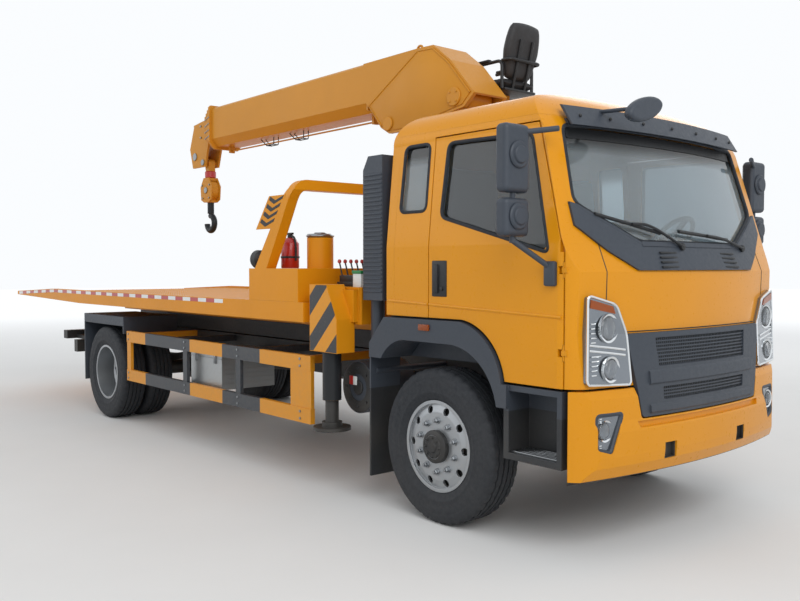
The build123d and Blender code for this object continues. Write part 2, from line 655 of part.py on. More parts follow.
# the ledge: depth behind the nose's foremost line, foot, top and half width
LEDGE = (4, 744, 792, 700)
FOG_LAMP = [(800, 845), (1000, 845), (1000, 650), (895, 620)]
with BuildPart() as bumper:
    nose(BUMPER_FACE)
    with BuildSketch() as plan:
        with BuildLine():
            Polyline((BUMPER_REAR_X, -BUMPER_HALF_W), (BUMPER_REAR_X, BUMPER_HALF_W))
            ThreePointArc((BUMPER_REAR_X, BUMPER_HALF_W), (1152, 1050), (1204, 900))
            Polyline((1204, 900), (1500, 300), (1500, -300), (1204, -900))
            ThreePointArc((1204, -900), (1152, -1050), (BUMPER_REAR_X, -BUMPER_HALF_W))
        make_face()
    extrude(plan.sketch, amount=FAR, mode=Mode.INTERSECT)
    with BuildPart(mode=Mode.PRIVATE) as hollow:
        nose(BUMPER_INSIDE)
        box((0, FAR), (-CAB_HALF_W + 120, CAB_HALF_W - 120), (0, FAR), Mode.INTERSECT)
    add(hollow.part, mode=Mode.SUBTRACT)
    with BuildPart(mode=Mode.PRIVATE) as ledge:
        depth, foot, top, half = LEDGE
        nose([(NOSE_X + depth, foot + 8), (NOSE_X + 60, foot), (NOSE_X + 60, top), (NOSE_X + depth, top - 8)])
        bar(mirrored([(half - 40, foot - 20), (half, top + 20)]), (900, FAR), Mode.INTERSECT)
    add(ledge.part, mode=Mode.SUBTRACT)
    grille_room = [(y + (GRILLE_MARGIN if y > 0 else -GRILLE_MARGIN), z) for y, z in GRILLE]
    bar([(y, z - GRILLE_MARGIN) for y, z in grille_room], (900, FAR), Mode.SUBTRACT, 25)
    for side in (-1, 1):
        box((1225, FAR), both((350, 460), side), (545, 640), Mode.SUBTRACT)
    for outline in (FOG_LAMP, [(-y, z) for y, z in FOG_LAMP]):
        bar(outline, (1000, FAR), Mode.SUBTRACT, 20)
    for side in (-1, 1):
        box((RAIL_FRONT_X, 1235), both((RAIL_IN_Y, RAIL_OUT_Y), side), (RAIL_BOTTOM, 780))
save(bumper, "bumper")

HEADLAMP = [(735, 1000), (752, 1290), (835, 1455), (1045, 1510), (1062, 1015)]
with BuildPart() as headlamps:
    nose(nose_band(1000, 1510, SLIP, 28))
    with BuildPart(mode=Mode.PRIVATE) as lamp_cuts:
        bar(HEADLAMP, (700, FAR), corner=18)
        mirror(about=Plane.XZ)
    add(lamp_cuts.part, mode=Mode.INTERSECT)
    with BuildPart(mode=Mode.PRIVATE) as fog_lamps:
        nose([(1195, 600), (1257, 600), (1257, 860), (1195, 860)])
        with BuildPart(mode=Mode.PRIVATE) as fog_cuts:
            bar(drawn_in(FOG_LAMP, 2), (700, FAR), corner=20)
            mirror(about=Plane.XZ)
        add(fog_cuts.part, mode=Mode.INTERSECT)
    add(fog_lamps.part)
save(headlamps, "headlamps")

with BuildPart() as sun_visor:
    nose([(1006, 2484), (1021, 2484), (945, 2606), (925, 2610)])
    box((0, FAR), (-930, 930), (0, FAR), Mode.INTERSECT)
    for y in (-640, 0, 640):
        box((760, 900), (y - 20, y + 20), (2585, 2603))
    rod((880, -640, 2590), (1190, -640, 2575), 12)
    with BuildPart(mode=Mode.PRIVATE) as look_down:
        with BuildSketch(Plane((1182, -645, 2562), x_dir=(0, 1, 0.3), z_dir=(1, 0, 0))) as oval:
            Ellipse(165, 66)
        extrude(oval.sketch, amount=58)
        fillet(look_down.edges(), 22)
    add(look_down.part)
    add(clear_of_cab, mode=Mode.SUBTRACT)
save(sun_visor, "sun_visor")

# Front fenders with their cab steps and mud flaps
FENDER_Y = 1160
LINER_Y = 870
with BuildPart() as front_fenders:
    with BuildSketch(Plane((0, FENDER_Y, 0), x_dir=(1, 0, 0), z_dir=(0, -1, 0))) as arch:
        with BuildLine():
            Polyline((-650, 1040), (-650, 1140), (-490, 1326), (240, 1328))
            ThreePointArc((240, 1328), (486, 1204), (596, CAB_BOTTOM - 15))
            Polyline((596, CAB_BOTTOM - 15), (640, CAB_BOTTOM - 15), (640, 835), (560, 835))
            ThreePointArc((560, 835), (420, 1080), (150, 1180))
            Line((150, 1180), (-250, 1180))
            ThreePointArc((-250, 1180), (-425, 1135), (-520, 1040))
            Polyline((-520, 1040), (-650, 1040))
        make_face()
    extrude(arch.sketch, amount=FENDER_Y - LINER_Y)
    with BuildSketch(Plane((0, FENDER_Y - 60, 0), x_dir=(1, 0, 0), z_dir=(0, -1, 0))) as pocket:
        with BuildLine():
            Polyline((-690, 1060), (-690, 1400), (700, 1400), (700, 835), (575, 835))
            ThreePointArc((575, 835), (432, 1092), (150, 1195))
            Line((150, 1195), (-250, 1195))
            ThreePointArc((-250, 1195), (-432, 1149), (-535, 1060))
            Polyline((-535, 1060), (-690, 1060))
        make_face()
    extrude(pocket.sketch, amount=FENDER_Y, mode=Mode.SUBTRACT)
    curtain = [(-520, 1042), (-425, 1137), (-250, 1182), (150, 1182), (430, 1074), (452, 1042)]
    prism(curtain, (LINER_Y, LINER_Y + 12))
    box((-655, -640), (LINER_Y + 10, 1150), (200, 1060))
    rod((-645, RAIL_OUT_Y, 940), (-645, 1100, 940), 20)
    box((600, 1034), (880, 1136), (535, CAB_BOTTOM - 15))
    box((640, 1000), (950, FAR), (575, CAB_BOTTOM - 50), Mode.SUBTRACT)
    box((700, 780), (RAIL_OUT_Y, 900), (800, 880))
    mirror(about=Plane.XZ)
save(front_fenders, "front_fenders")

# Cab interior: dashboard with steering wheel, two seats
CABIN_FLOOR = CAB_BOTTOM + CAB_WALL
DASHBOARD = [(790, CABIN_FLOOR), (1120, CABIN_FLOOR), (1120, 1700), (1080, 1760), (900, 1770), (780, 1640)]
with BuildPart() as cab_interior:
    nose(DASHBOARD)
    box((775, FAR), (-1040, 1040), (0, FAR), Mode.INTERSECT)
    rod((860, 560, 1660), (640, 560, 1840), 35)
    with Locations(Plane((630, 560, 1848), z_dir=(-220, 0, 180))):
        Torus(205, 17)
        Box(400, 40, 24)
    for side in (-1, 1):
        box((-150, 380), both((300, 820), side), (1540, 1700))
        box((-80, 300), both((400, 720), side), (1340 + CAB_WALL, 1540))
        prism([(-150, 1600), (-270, 1610), (-350, 2330), (-240, 2340)], both((310, 810), side))
save(cab_interior, "cab_interior")

# Chassis side pieces
BATTERY_X = (-3420, -2830)
BATTERY_Y = (-1110, -560)
with BuildPart() as battery_box:
    box(BATTERY_X, BATTERY_Y, (560, 900))
    box((BATTERY_X[0] + 170, BATTERY_X[1] - 170), (BATTERY_Y[1], -RAIL_OUT_Y), (760, 880))
save(battery_box, "battery_box")

TANK_X = (-3700, -2500)
TANK_Y = 800
TANK_Z = 730
TANK_R = 290
with BuildPart() as fuel_tank:
    rod((TANK_X[0], TANK_Y, TANK_Z), (TANK_X[1], TANK_Y, TANK_Z), TANK_R)
    for x in within(TANK_X, 200):
        box((x - 40, x + 40), (RAIL_OUT_Y, TANK_Y - TANK_R + 50), (TANK_Z + 10, TANK_Z + 150))
save(fuel_tank, "fuel_tank")

with BuildPart() as air_intake:
    rod((-924, -1040, 785), (-924, -640, 785), 190)
    box((-960, -890), (-650, -RAIL_OUT_Y), (760, 860))
    prism([(-752, 1434), (-752, 2345), (-695, 2440), (-540, 2440), (-540, 1434)], (-1130, -960))
    rod((-720, -1020, 1440), (-720, -1020, 1000), 50)
    rod((-720, -1020, 1015), (-860, -900, 860), 50)
save(air_intake, "air_intake")

GUARD_X = (-4700, -1310)
GUARD_Y = (1160, 1200)
GUARD_RAILS = ((880, 994), (474, 590))
GUARD_POSTS = ((GUARD_X[0], -4610), (-3420, -3340), (-2440, -2360), (-1590, GUARD_X[1]))
GUARD_ARMS = (-4640, -3800, -2400, -1540)
with BuildPart() as side_guards:
    for z in GUARD_RAILS:
        box(GUARD_X, GUARD_Y, z)
    for x in GUARD_POSTS:
        box(x, within(GUARD_Y, 5), (GUARD_RAILS[1][0] + 6, GUARD_RAILS[0][1] - 4))
    for x in GUARD_ARMS:
        box((x - 30, x + 30), (RAIL_OUT_Y, GUARD_Y[0] + 10), (910, 970))
    mirror(about=Plane.XZ)
save(side_guards, "side_guards")

MUDGUARD_X = (-WHEELBASE - 550, -WHEELBASE + 555)
MUDGUARD_Y = (600, 1215)
MUDGUARD_TOP = 1138
with BuildPart() as rear_mudguards:
    box(MUDGUARD_X, MUDGUARD_Y, (MUDGUARD_TOP - 18, MUDGUARD_TOP))
    box(MUDGUARD_X, (MUDGUARD_Y[1] - 15, MUDGUARD_Y[1]), (1040, MUDGUARD_TOP))
    box((MUDGUARD_X[1] - 18, MUDGUARD_X[1]), MUDGUARD_Y, (960, MUDGUARD_TOP))
    box((MUDGUARD_X[0], MUDGUARD_X[0] + 18), MUDGUARD_Y, (377, MUDGUARD_TOP))
    arm_x = (-WHEELBASE - 40, -WHEELBASE + 40)
    box(arm_x, (RAIL_OUT_Y, MUDGUARD_Y[0] + 20), (MUDGUARD_TOP - 38, MUDGUARD_TOP - 18))
    box(arm_x, (RAIL_OUT_Y, RAIL_OUT_Y + 20), (860, MUDGUARD_TOP - 18))
    mirror(about=Plane.XZ)
save(rear_mudguards, "rear_mudguards")

# Crane base with its outrigger housing
BASE_X = (CRANE_X - 220, CRANE_X + 220)
BASE_Y = 1080
BASE_Z = (1250, 1520)
BASE_WALL = 18
BEAM_FIT = 0.5
BEAM_WALL = 14
JACK_HOUSING = [(-1245, 1045), (-905, 1045), (-905, 1290), (-1030, 1540), (-1245, 1540)]
BASE_RIBS = (-1066, -860, -640, 640, 860, 1066)
BASE_RIB_T = 14
with BuildPart() as crane_base:
    box(BASE_X, (-BASE_Y, BASE_Y), BASE_Z)
    box(within(BASE_X, BASE_WALL), (-FAR, FAR), within(BASE_Z, BASE_WALL), Mode.SUBTRACT)
    for side in (-1, 1):
        box(BASE_X, both((RAIL_IN_Y, RAIL_OUT_Y), side), (RAIL_TOP, BASE_Z[0] + 10))
    for y in BASE_RIBS:
        for x0, x1 in ((BASE_X[0] - 16, BASE_X[0]), (BASE_X[1], BASE_X[1] + 16)):
            box((x0, x1), (y - BASE_RIB_T / 2, y + BASE_RIB_T / 2), BASE_Z)
    rod((CRANE_X, 0, BASE_Z[1] - 10), (CRANE_X, 0, SLEW_Z - 0.5), 240)
save(crane_base, "crane_base")

for name, side in SIDES:
    with BuildPart() as outrigger:
        beam_x = within(BASE_X, BASE_WALL + BEAM_FIT)
        beam_z = within(BASE_Z, BASE_WALL + BEAM_FIT)
        box(beam_x, both((60, 1120), side), beam_z)
        box(within(beam_x, BEAM_WALL), both((40, BASE_Y), side), within(beam_z, BEAM_WALL), Mode.SUBTRACT)
        prism(JACK_HOUSING, both((BASE_Y + 10, BED_HALF_W), side))
        rod((JACK_X, side * JACK_Y, 690), (JACK_X, side * JACK_Y, 1100), JACK_TUBE_R)
        rod((JACK_X, side * JACK_Y, 600), (JACK_X, side * JACK_Y, 1525), JACK_LEG_R + SLIP, Mode.SUBTRACT)
    save(outrigger, f"outrigger_{name}")
    with BuildPart() as jack:
        rod((JACK_X, side * JACK_Y, PAD_Z + 20), (JACK_X, side * JACK_Y, 1510), JACK_LEG_R)
        rod((JACK_X, side * JACK_Y, PAD_Z), (JACK_X, side * JACK_Y, PAD_Z + 24), PAD_R)
        rod((JACK_X, side * JACK_Y, PAD_Z + 20), (JACK_X, side * JACK_Y, PAD_Z + 60), 75)
    save(jack, f"jack_{name}")

# Crane column: open behind for the lift cylinder
COLUMN_SIDE = [
    (-1300, SLEW_Z + 50), (-850, SLEW_Z + 50), (PIVOT_X, 1900), (PIVOT_X, 2700), (-1040, 2700), (-1280, 1950),
]
COLUMN_NECK = [(-1040, 2690), (PIVOT_X, 2690), (PIVOT_X + 20, 2890), (PIVOT_X - 108, 2980)]
LIFT_ROOM = [(LIFT_X + 115, LIFT_Z - 90), (LIFT_X + 115, 3200), (-2000, 3200), (-2000, LIFT_Z - 90)]
BOOM_PIN_R = 35
with BuildPart() as crane_column:
    rod((CRANE_X, 0, SLEW_Z), (CRANE_X, 0, SLEW_Z + 60), 230)
    prism(COLUMN_SIDE, (-150, 150))
    prism(COLUMN_NECK, (-115, 115))
    rod((PIVOT_X, -115, PIVOT_Z), (PIVOT_X, 115, PIVOT_Z), 110)
    prism(LIFT_ROOM, (-80, 80), Mode.SUBTRACT)
    rod((PIVOT_X, -200, PIVOT_Z), (PIVOT_X, 200, PIVOT_Z), BOOM_PIN_R)
    rod((LIFT_X, -100, LIFT_Z), (LIFT_X, 100, LIFT_Z), LIFT_PIN_R)
    box((-950, -830), (140, 500), (2560, 2660))
    box((-930, -850), (420, 500), (2600, 3090))
save(crane_column, "crane_column")

SEAT_X = -1190
SEAT_Y = 455
SEAT_Z = 3090
SEAT_BACK_LEAN = [(400, 60), (470, 50), (580, 510), (490, 560)]
SEAT_BACK_FRONT = [(-112, 20), (-162, 300), (-135, 580), (135, 580), (162, 300), (112, 20)]
with BuildPart() as operator_seat:
    box((SEAT_X, SEAT_X + 500), (SEAT_Y - 185, SEAT_Y + 185), (SEAT_Z, SEAT_Z + 22))
    box((SEAT_X + 50, SEAT_X + 470), (SEAT_Y - 165, SEAT_Y + 165), (SEAT_Z + 22, SEAT_Z + 120))
    with BuildPart(mode=Mode.PRIVATE) as seat_back:
        prism([(SEAT_X + x, SEAT_Z + z) for x, z in SEAT_BACK_LEAN], (SEAT_Y - 200, SEAT_Y + 200), corner=20)
        outline = [(SEAT_Y + y, SEAT_Z + z) for y, z in SEAT_BACK_FRONT]
        bar(outline, (SEAT_X, SEAT_X + 700), Mode.INTERSECT, 55)
    add(seat_back.part)
    for y in (SEAT_Y - 180, SEAT_Y + 180):
        rod((SEAT_X + 460, y, SEAT_Z + 15), (SEAT_X + 460, y, SEAT_Z + 240), 14)
        rod((SEAT_X + 460, y, SEAT_Z + 240), (SEAT_X + 60, y, SEAT_Z + 240), 14)
save(operator_seat, "operator_seat")

# Lift cylinder, from the column up to the boom's knee
LIFT_RUN = Vector(KNEE_X - LIFT_X, 0, KNEE_Z - LIFT_Z)


def on_lift(distance):
    """Point on the lift cylinder's axis, from its foot."""
    step = LIFT_RUN.normalized() * distance
    return (LIFT_X + step.X, 0, LIFT_Z + step.Z)


with BuildPart() as lift_barrel:
    rod((LIFT_X, -60, LIFT_Z), (LIFT_X, 60, LIFT_Z), 58)
    rod(on_lift(30), on_lift(1010), LIFT_BARREL_R)
    rod(on_lift(110), on_lift(1100), LIFT_ROD_R + SLIP, Mode.SUBTRACT)
    rod((LIFT_X, -70, LIFT_Z), (LIFT_X, 70, LIFT_Z), LIFT_PIN_R + PIN_FIT, Mode.SUBTRACT)
save(lift_barrel, "lift_barrel")

with BuildPart() as lift_rod:
    rod(on_lift(125), on_lift(LIFT_RUN.length - 20), LIFT_ROD_R)
    rod((KNEE_X, -50, KNEE_Z), (KNEE_X, 50, KNEE_Z), 62)
    rod((KNEE_X, -60, KNEE_Z), (KNEE_X, 60, KNEE_Z), 30, Mode.SUBTRACT)
save(lift_rod, "lift_rod")


def boom_outline(step):
    """Front view outline of a boom section drawn in by a step."""
    w = BOOM_HALF_W - step
    top = BOOM_TOP_Z - step
    low = BOOM_BOTTOM_Z + step
    half = [(w - 20, top), (w, top - 20), (w, low + 80), (w - 65, low)]
    return half + [(-y, z) for y, z in reversed(half)]


def boom_section(step, x):
    """Hollow boom section with a collar that guides the next one."""
    bar(boom_outline(step), x)
    bar(boom_outline(step - COLLAR_RISE), (x[0], x[0] + COLLAR_T))
    bar(boom_outline(step + BOOM_WALL), (x[0] + 60, x[1] + 10), Mode.SUBTRACT)
    bar(boom_outline(step + STAGE_STEP - BEAM_FIT), (x[0] - 10, x[0] + 70), Mode.SUBTRACT)


BOOM_HEEL_X = -1900
CHEEK_IN_Y = 150
CREST_LINE = [(-1226, BOOM_TOP_Z), (-1048, BOOM_TOP_Z - 7), (-848, 3284), (-589, 2995)]
BOOM_CHEEK = [(-1920, BOOM_TOP_Z)] + CREST_LINE + [
    (-700, 2900), (-1000, 2860), (-1400, 2800), (-1600, 2800), (-1707, 2860), (-1877, 3062), (-1920, 3100),
]
BOOM_CREST = [(-1950, BOOM_TOP_Z - 30), (-1950, BOOM_TOP_Z)] + CREST_LINE + [
    (-605, 2985), (-863, 3270), (-1058, BOOM_TOP_Z - 37), (-1226, BOOM_TOP_Z - 30),
]
LIFT_RING_X = -1410
ROPE_GUIDES = (-4577, -2010)
ROPE_Z = 2968
ROPE_R = 8
with BuildPart() as boom_base:
    boom_section(0, (BOOM_MOUTH_X, BOOM_HEEL_X))
    prism(BOOM_CHEEK, (CHEEK_IN_Y, BOOM_HALF_W))
    prism(BOOM_CHEEK, (-BOOM_HALF_W, -CHEEK_IN_Y))
    prism(BOOM_CREST, (-BOOM_HALF_W, BOOM_HALF_W))
    box((-1925, -1905), (-170, 170), (3040, BOOM_TOP_Z - 5))
    rod((PIVOT_X, -300, PIVOT_Z), (PIVOT_X, 300, PIVOT_Z), BOOM_PIN_R + PIN_FIT, Mode.SUBTRACT)
    for side in (-1, 1):
        rod((KNEE_X, side * 56, KNEE_Z), (KNEE_X, side * 160, KNEE_Z), 45)
    rod((LIFT_RING_X, 0, BOOM_TOP_Z - 5), (LIFT_RING_X, 0, BOOM_TOP_Z + 22), 22)
    with Locations(Plane((LIFT_RING_X, 0, BOOM_TOP_Z + 50), z_dir=(0, 1, 0))):
        Torus(34, 10)
    for x in ROPE_GUIDES:
        box((x - 14, x + 14), (-30, 30), (ROPE_Z - 22, BOOM_BOTTOM_Z + 4))
    rod((ROPE_GUIDES[0], 0, ROPE_Z), (ROPE_GUIDES[1], 0, ROPE_Z), ROPE_R)
save(boom_base, "boom_base")

for stage in (2, 3):
    step = (stage - 1) * STAGE_STEP
    mouth = BOOM_MOUTH_X - (stage - 1) * STAGE_LAP
    with BuildPart() as boom_stage:
        boom_section(step, (mouth, mouth + STAGE_LENGTH - 20 * stage))
    save(boom_stage, f"boom_stage_{stage}")

HEAD_X = BOOM_MOUTH_X - 3 * STAGE_LAP
HOOK_X = -5080
HOOK_Z = 2880
HOOK_PIN_R = 20
HEAD_CHEEK = [
    (HEAD_X + 10, 3370), (HEAD_X - 330, 3330), (-5400, 3060), (-5330, 2830), (-5040, 2830), (HEAD_X + 10, 3100),
]
with BuildPart() as boom_tip:
    step = 3 * STAGE_STEP
    bar(boom_outline(step), (HEAD_X, HEAD_X + STAGE_LENGTH - 120))
    bar(boom_outline(step - COLLAR_RISE), (HEAD_X, HEAD_X + COLLAR_T))
    bar(boom_outline(step + BOOM_WALL), (HEAD_X + 30, HEAD_X + STAGE_LENGTH), Mode.SUBTRACT)
    for side in (-1, 1):
        prism(HEAD_CHEEK, both((70, 95), side))
    box((-5330, HEAD_X), (-80, 80), (3315, 3335))
    rod((-5270, -90, 2960), (-5270, 90, 2960), 25)
    rod((-5270, -20, 2960), (-5270, 20, 2960), 110)
    rod((HOOK_X, -90, HOOK_Z), (HOOK_X, 90, HOOK_Z), HOOK_PIN_R)
save(boom_tip, "boom_tip")

with BuildPart() as hook_block:
    rod((HOOK_X, -40, HOOK_Z), (HOOK_X, 40, HOOK_Z), 42)
    box((HOOK_X - 40, HOOK_X + 40), (-40, 40), (2680, HOOK_Z - 10))
    rod((HOOK_X, -62, HOOK_Z), (HOOK_X, 62, HOOK_Z), HOOK_PIN_R + PIN_FIT, Mode.SUBTRACT)
    half_cheek = [(50, 2420), (120, 2450), (135, 2600), (60, 2705)]
    cheek_line = mirrored(half_cheek)
    for side in (-1, 1):
        prism([(HOOK_X + x, z) for x, z in cheek_line], both((46, 60), side))
    rod((HOOK_X, -44, 2560), (HOOK_X, 44, 2560), 118)
    rod((HOOK_X, -66, 2560), (HOOK_X, 66, 2560), 26)
    box((HOOK_X - 58, HOOK_X + 58), (-60, 60), (2670, 2702))
    box((HOOK_X - 50, HOOK_X + 50), (-60, 60), (2420, 2455))
    rod((HOOK_X, 0, 2430), (HOOK_X, 0, 2290), 38)
    with Locations(Plane((HOOK_X, 0, 2180), x_dir=(0, 0, 1), z_dir=(0, 1, 0))):
        Torus(85, 34, major_angle=265)
save(hook_block, "hook_block")

# Bed: a tilting frame on the chassis, and the bed that slides on it
with BuildPart() as tilt_frame:
    box((-6110, -1500), (340, 420), (990, BED_SILL_Z - BEAM_FIT))
    for x in (-1540, -2700, TILT_EYE_X - 175, -5000, -6065):
        box((x - 40, x + 40), (0, 350), (1040, 1120))
    for y in (TILT_CYL_Y - 58, TILT_CYL_Y + 40):
        box((TILT_EYE_X - 150, TILT_EYE_X + 45), (y, y + 18), (1010, 1115))
    rod((TILT_X, 280, TILT_Z), (TILT_X, 430, TILT_Z), TILT_PIN_R + PIN_FIT, Mode.SUBTRACT)
    mirror(about=Plane.XZ)
save(tilt_frame, "tilt_frame")

TILT_RUN = Vector(TILT_EYE_X - TILT_BASE_X, 0, TILT_EYE_Z - TILT_BASE_Z)


def on_tilt(distance, y):
    """Point on a tilt cylinder's axis, from its foot."""
    step = TILT_RUN.normalized() * distance
    return (TILT_BASE_X + step.X, y, TILT_BASE_Z + step.Z)


with BuildPart() as tilt_barrels:
    y = TILT_CYL_Y
    rod((TILT_BASE_X, y - 35, TILT_BASE_Z), (TILT_BASE_X, y + 35, TILT_BASE_Z), 50)
    rod(on_tilt(25, y), on_tilt(900, y), 60)
    rod(on_tilt(90, y), on_tilt(1000, y), 36 + SLIP, Mode.SUBTRACT)
    rod((TILT_BASE_X, y - 50, TILT_BASE_Z), (TILT_BASE_X, y + 50, TILT_BASE_Z), 25 + PIN_FIT, Mode.SUBTRACT)
    mirror(about=Plane.XZ)
save(tilt_barrels, "tilt_barrels")

with BuildPart() as tilt_rods:
    rod(on_tilt(110, y), on_tilt(TILT_RUN.length - 20, y), 36)
    rod((TILT_EYE_X, y - 30, TILT_EYE_Z), (TILT_EYE_X, y + 30, TILT_EYE_Z), 50)
    rod((TILT_EYE_X, y - 40, TILT_EYE_Z), (TILT_EYE_X, y + 40, TILT_EYE_Z), 25, Mode.SUBTRACT)
    mirror(about=Plane.XZ)
save(tilt_rods, "tilt_rods")

LOCKER_X = (-2112, -1400)
BED_FRONT_X = -1330
TAIL_X = -REAR_REACH
BED_RAIL = [
    (BED_FRONT_X, BED_BOTTOM), (BED_FRONT_X, BED_TOP), (TAIL_KNEE_X, BED_TOP), (TAIL_X, 1345), (TAIL_X, 1300),
    (-5900, BED_BOTTOM),
]
DECK_PLATE = [
    (LOCKER_X[0], DECK_Z - DECK_T), (LOCKER_X[0], DECK_Z), (TAIL_KNEE_X, DECK_Z), (TAIL_X, 1335),
    (TAIL_X, 1335 - DECK_T), (TAIL_KNEE_X, DECK_Z - DECK_T),
]
HOOP_TOP = 2338
HOOP_W = 90
HOOP_T = 79
HOOP_OUT_R = 140
HOOP_IN_R = 50
HOOP_LEAN = [
    (-2025, 1650), (-1555, 2275), (-1555, HOOP_TOP), (-1470, HOOP_TOP), (-1470, HOOP_TOP - HOOP_T),
    (-1530, 2180), (-1660, 1956), (-1850, 1650),
]
CHEVRON_PLATE = [(-2000, 1969), (-1750, 1969), (-1560, 2225), (-1800, 2225)]
BOLLARD_X = -1600
BOLLARD_Y = 900
BOLLARD_R = 105
with BuildPart() as bed_deck:
    box((-6600, -1440), (345, 415), (BED_SILL_Z, BED_BOTTOM + 40))
    prism(BED_RAIL, (BED_HALF_W - BED_RAIL_T, BED_HALF_W))
    prism(DECK_PLATE, (0, BED_HALF_W - BED_RAIL_T))
    for k in range(9):
        x = -1500 - 620 * k
        box((x - 35, x + 35), (0, BED_HALF_W - BED_RAIL_T), (1275, DECK_Z - DECK_T))
    box((-7250, -7180), (0, BED_HALF_W - BED_RAIL_T), (1290, 1352))
    box((TAIL_X, TAIL_X + 60), (0, BED_HALF_W - BED_RAIL_T), (1300, 1330))
    mirror(about=Plane.XZ)
save(bed_deck, "bed_deck")

with BuildPart() as bed_headboard:
    box(LOCKER_X, (-BED_HALF_W, BED_HALF_W), (BED_TOP, 1656))
    box((LOCKER_X[0] + 20, LOCKER_X[1] - 20), (-BED_HALF_W + 20, BED_HALF_W - 20), (0, 1636), Mode.SUBTRACT)
    with BuildPart(mode=Mode.PRIVATE) as hoop:
        prism(HOOP_LEAN, (-BED_HALF_W, BED_HALF_W))
        across = mirrored([(BED_HALF_W, BED_TOP), (BED_HALF_W, HOOP_TOP)])
        bar(across, (LOCKER_X[0], LOCKER_X[1]), Mode.INTERSECT, HOOP_OUT_R)
        opening = mirrored([(BED_HALF_W - HOOP_W, 0), (BED_HALF_W - HOOP_W, HOOP_TOP - HOOP_T)])
        bar(opening, (LOCKER_X[0], LOCKER_X[1]), Mode.SUBTRACT, HOOP_IN_R)
    add(hoop.part)
    for side in (-1, 1):
        prism(CHEVRON_PLATE, both((BED_HALF_W - 10, BED_HALF_W), side))
        rod((BOLLARD_X, side * BOLLARD_Y, 1640), (BOLLARD_X, side * BOLLARD_Y, 1899), BOLLARD_R)
save(bed_headboard, "bed_headboard")

# Wheel lift under the tail
with BuildPart() as wheel_lift:
    box((-6105, -6030), (-280, 280), (790, 1040))
    box((-6800, -6060), (-80, 80), (770, 930))
    box((-6800, -6680), (-1120, 1120), (785, 885))
    for side in (-1, 1):
        rod((-6740, side * 1040, 700), (-6740, side * 1040, 950), 25, Mode.SUBTRACT)
        box((-6500, -6400), both((850, 1100), side), (640, 785))
        box((-6700, -6420), both((900, 1000), side), (785, 830))
save(wheel_lift, "wheel_lift")
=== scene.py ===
import math

import bmesh
import bpy
from mathutils import Matrix, Vector


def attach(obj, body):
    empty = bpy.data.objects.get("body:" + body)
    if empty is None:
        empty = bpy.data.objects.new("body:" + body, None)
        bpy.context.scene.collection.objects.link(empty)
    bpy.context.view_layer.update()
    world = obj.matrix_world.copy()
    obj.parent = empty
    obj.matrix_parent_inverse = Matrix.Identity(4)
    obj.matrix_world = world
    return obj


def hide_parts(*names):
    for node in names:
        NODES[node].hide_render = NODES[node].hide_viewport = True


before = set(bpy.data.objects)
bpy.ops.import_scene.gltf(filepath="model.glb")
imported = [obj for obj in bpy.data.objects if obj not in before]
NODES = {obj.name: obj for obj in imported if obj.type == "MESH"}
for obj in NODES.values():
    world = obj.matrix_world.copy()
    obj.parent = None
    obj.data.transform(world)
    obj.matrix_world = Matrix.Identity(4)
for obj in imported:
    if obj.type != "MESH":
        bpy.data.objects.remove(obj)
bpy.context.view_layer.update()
FRONT = 3.445  # the front axle's place along the truck
SIDES = (("right", -1), ("left", 1))


def X(x):
    """A distance ahead of the front axle as a place in the frame."""
    return FRONT + x


def either(side, near, far):
    """Two distances from the middle as places on one side, the lower one first."""
    return sorted((side * near, side * far))


def around(x, z, radius, count, start=0.0):
    """Places spread evenly over a circle that is seen from the truck's side."""
    spots = []
    for k in range(count):
        angle = math.tau * (k + start) / count
        spots.append((x + radius * math.cos(angle), 0, z + radius * math.sin(angle)))
    return spots


# Colours and materials


def linear(rgb):
    """A colour written 0 to 255 as the shader's linear values."""
    values = [(c / 255 / 12.92) if c <= 10 else ((c / 255 + 0.055) / 1.055) ** 2.4 for c in rgb]
    return (*values, 1.0)


def scaled(rgb, by):
    return tuple(min(255, c * by) for c in rgb)


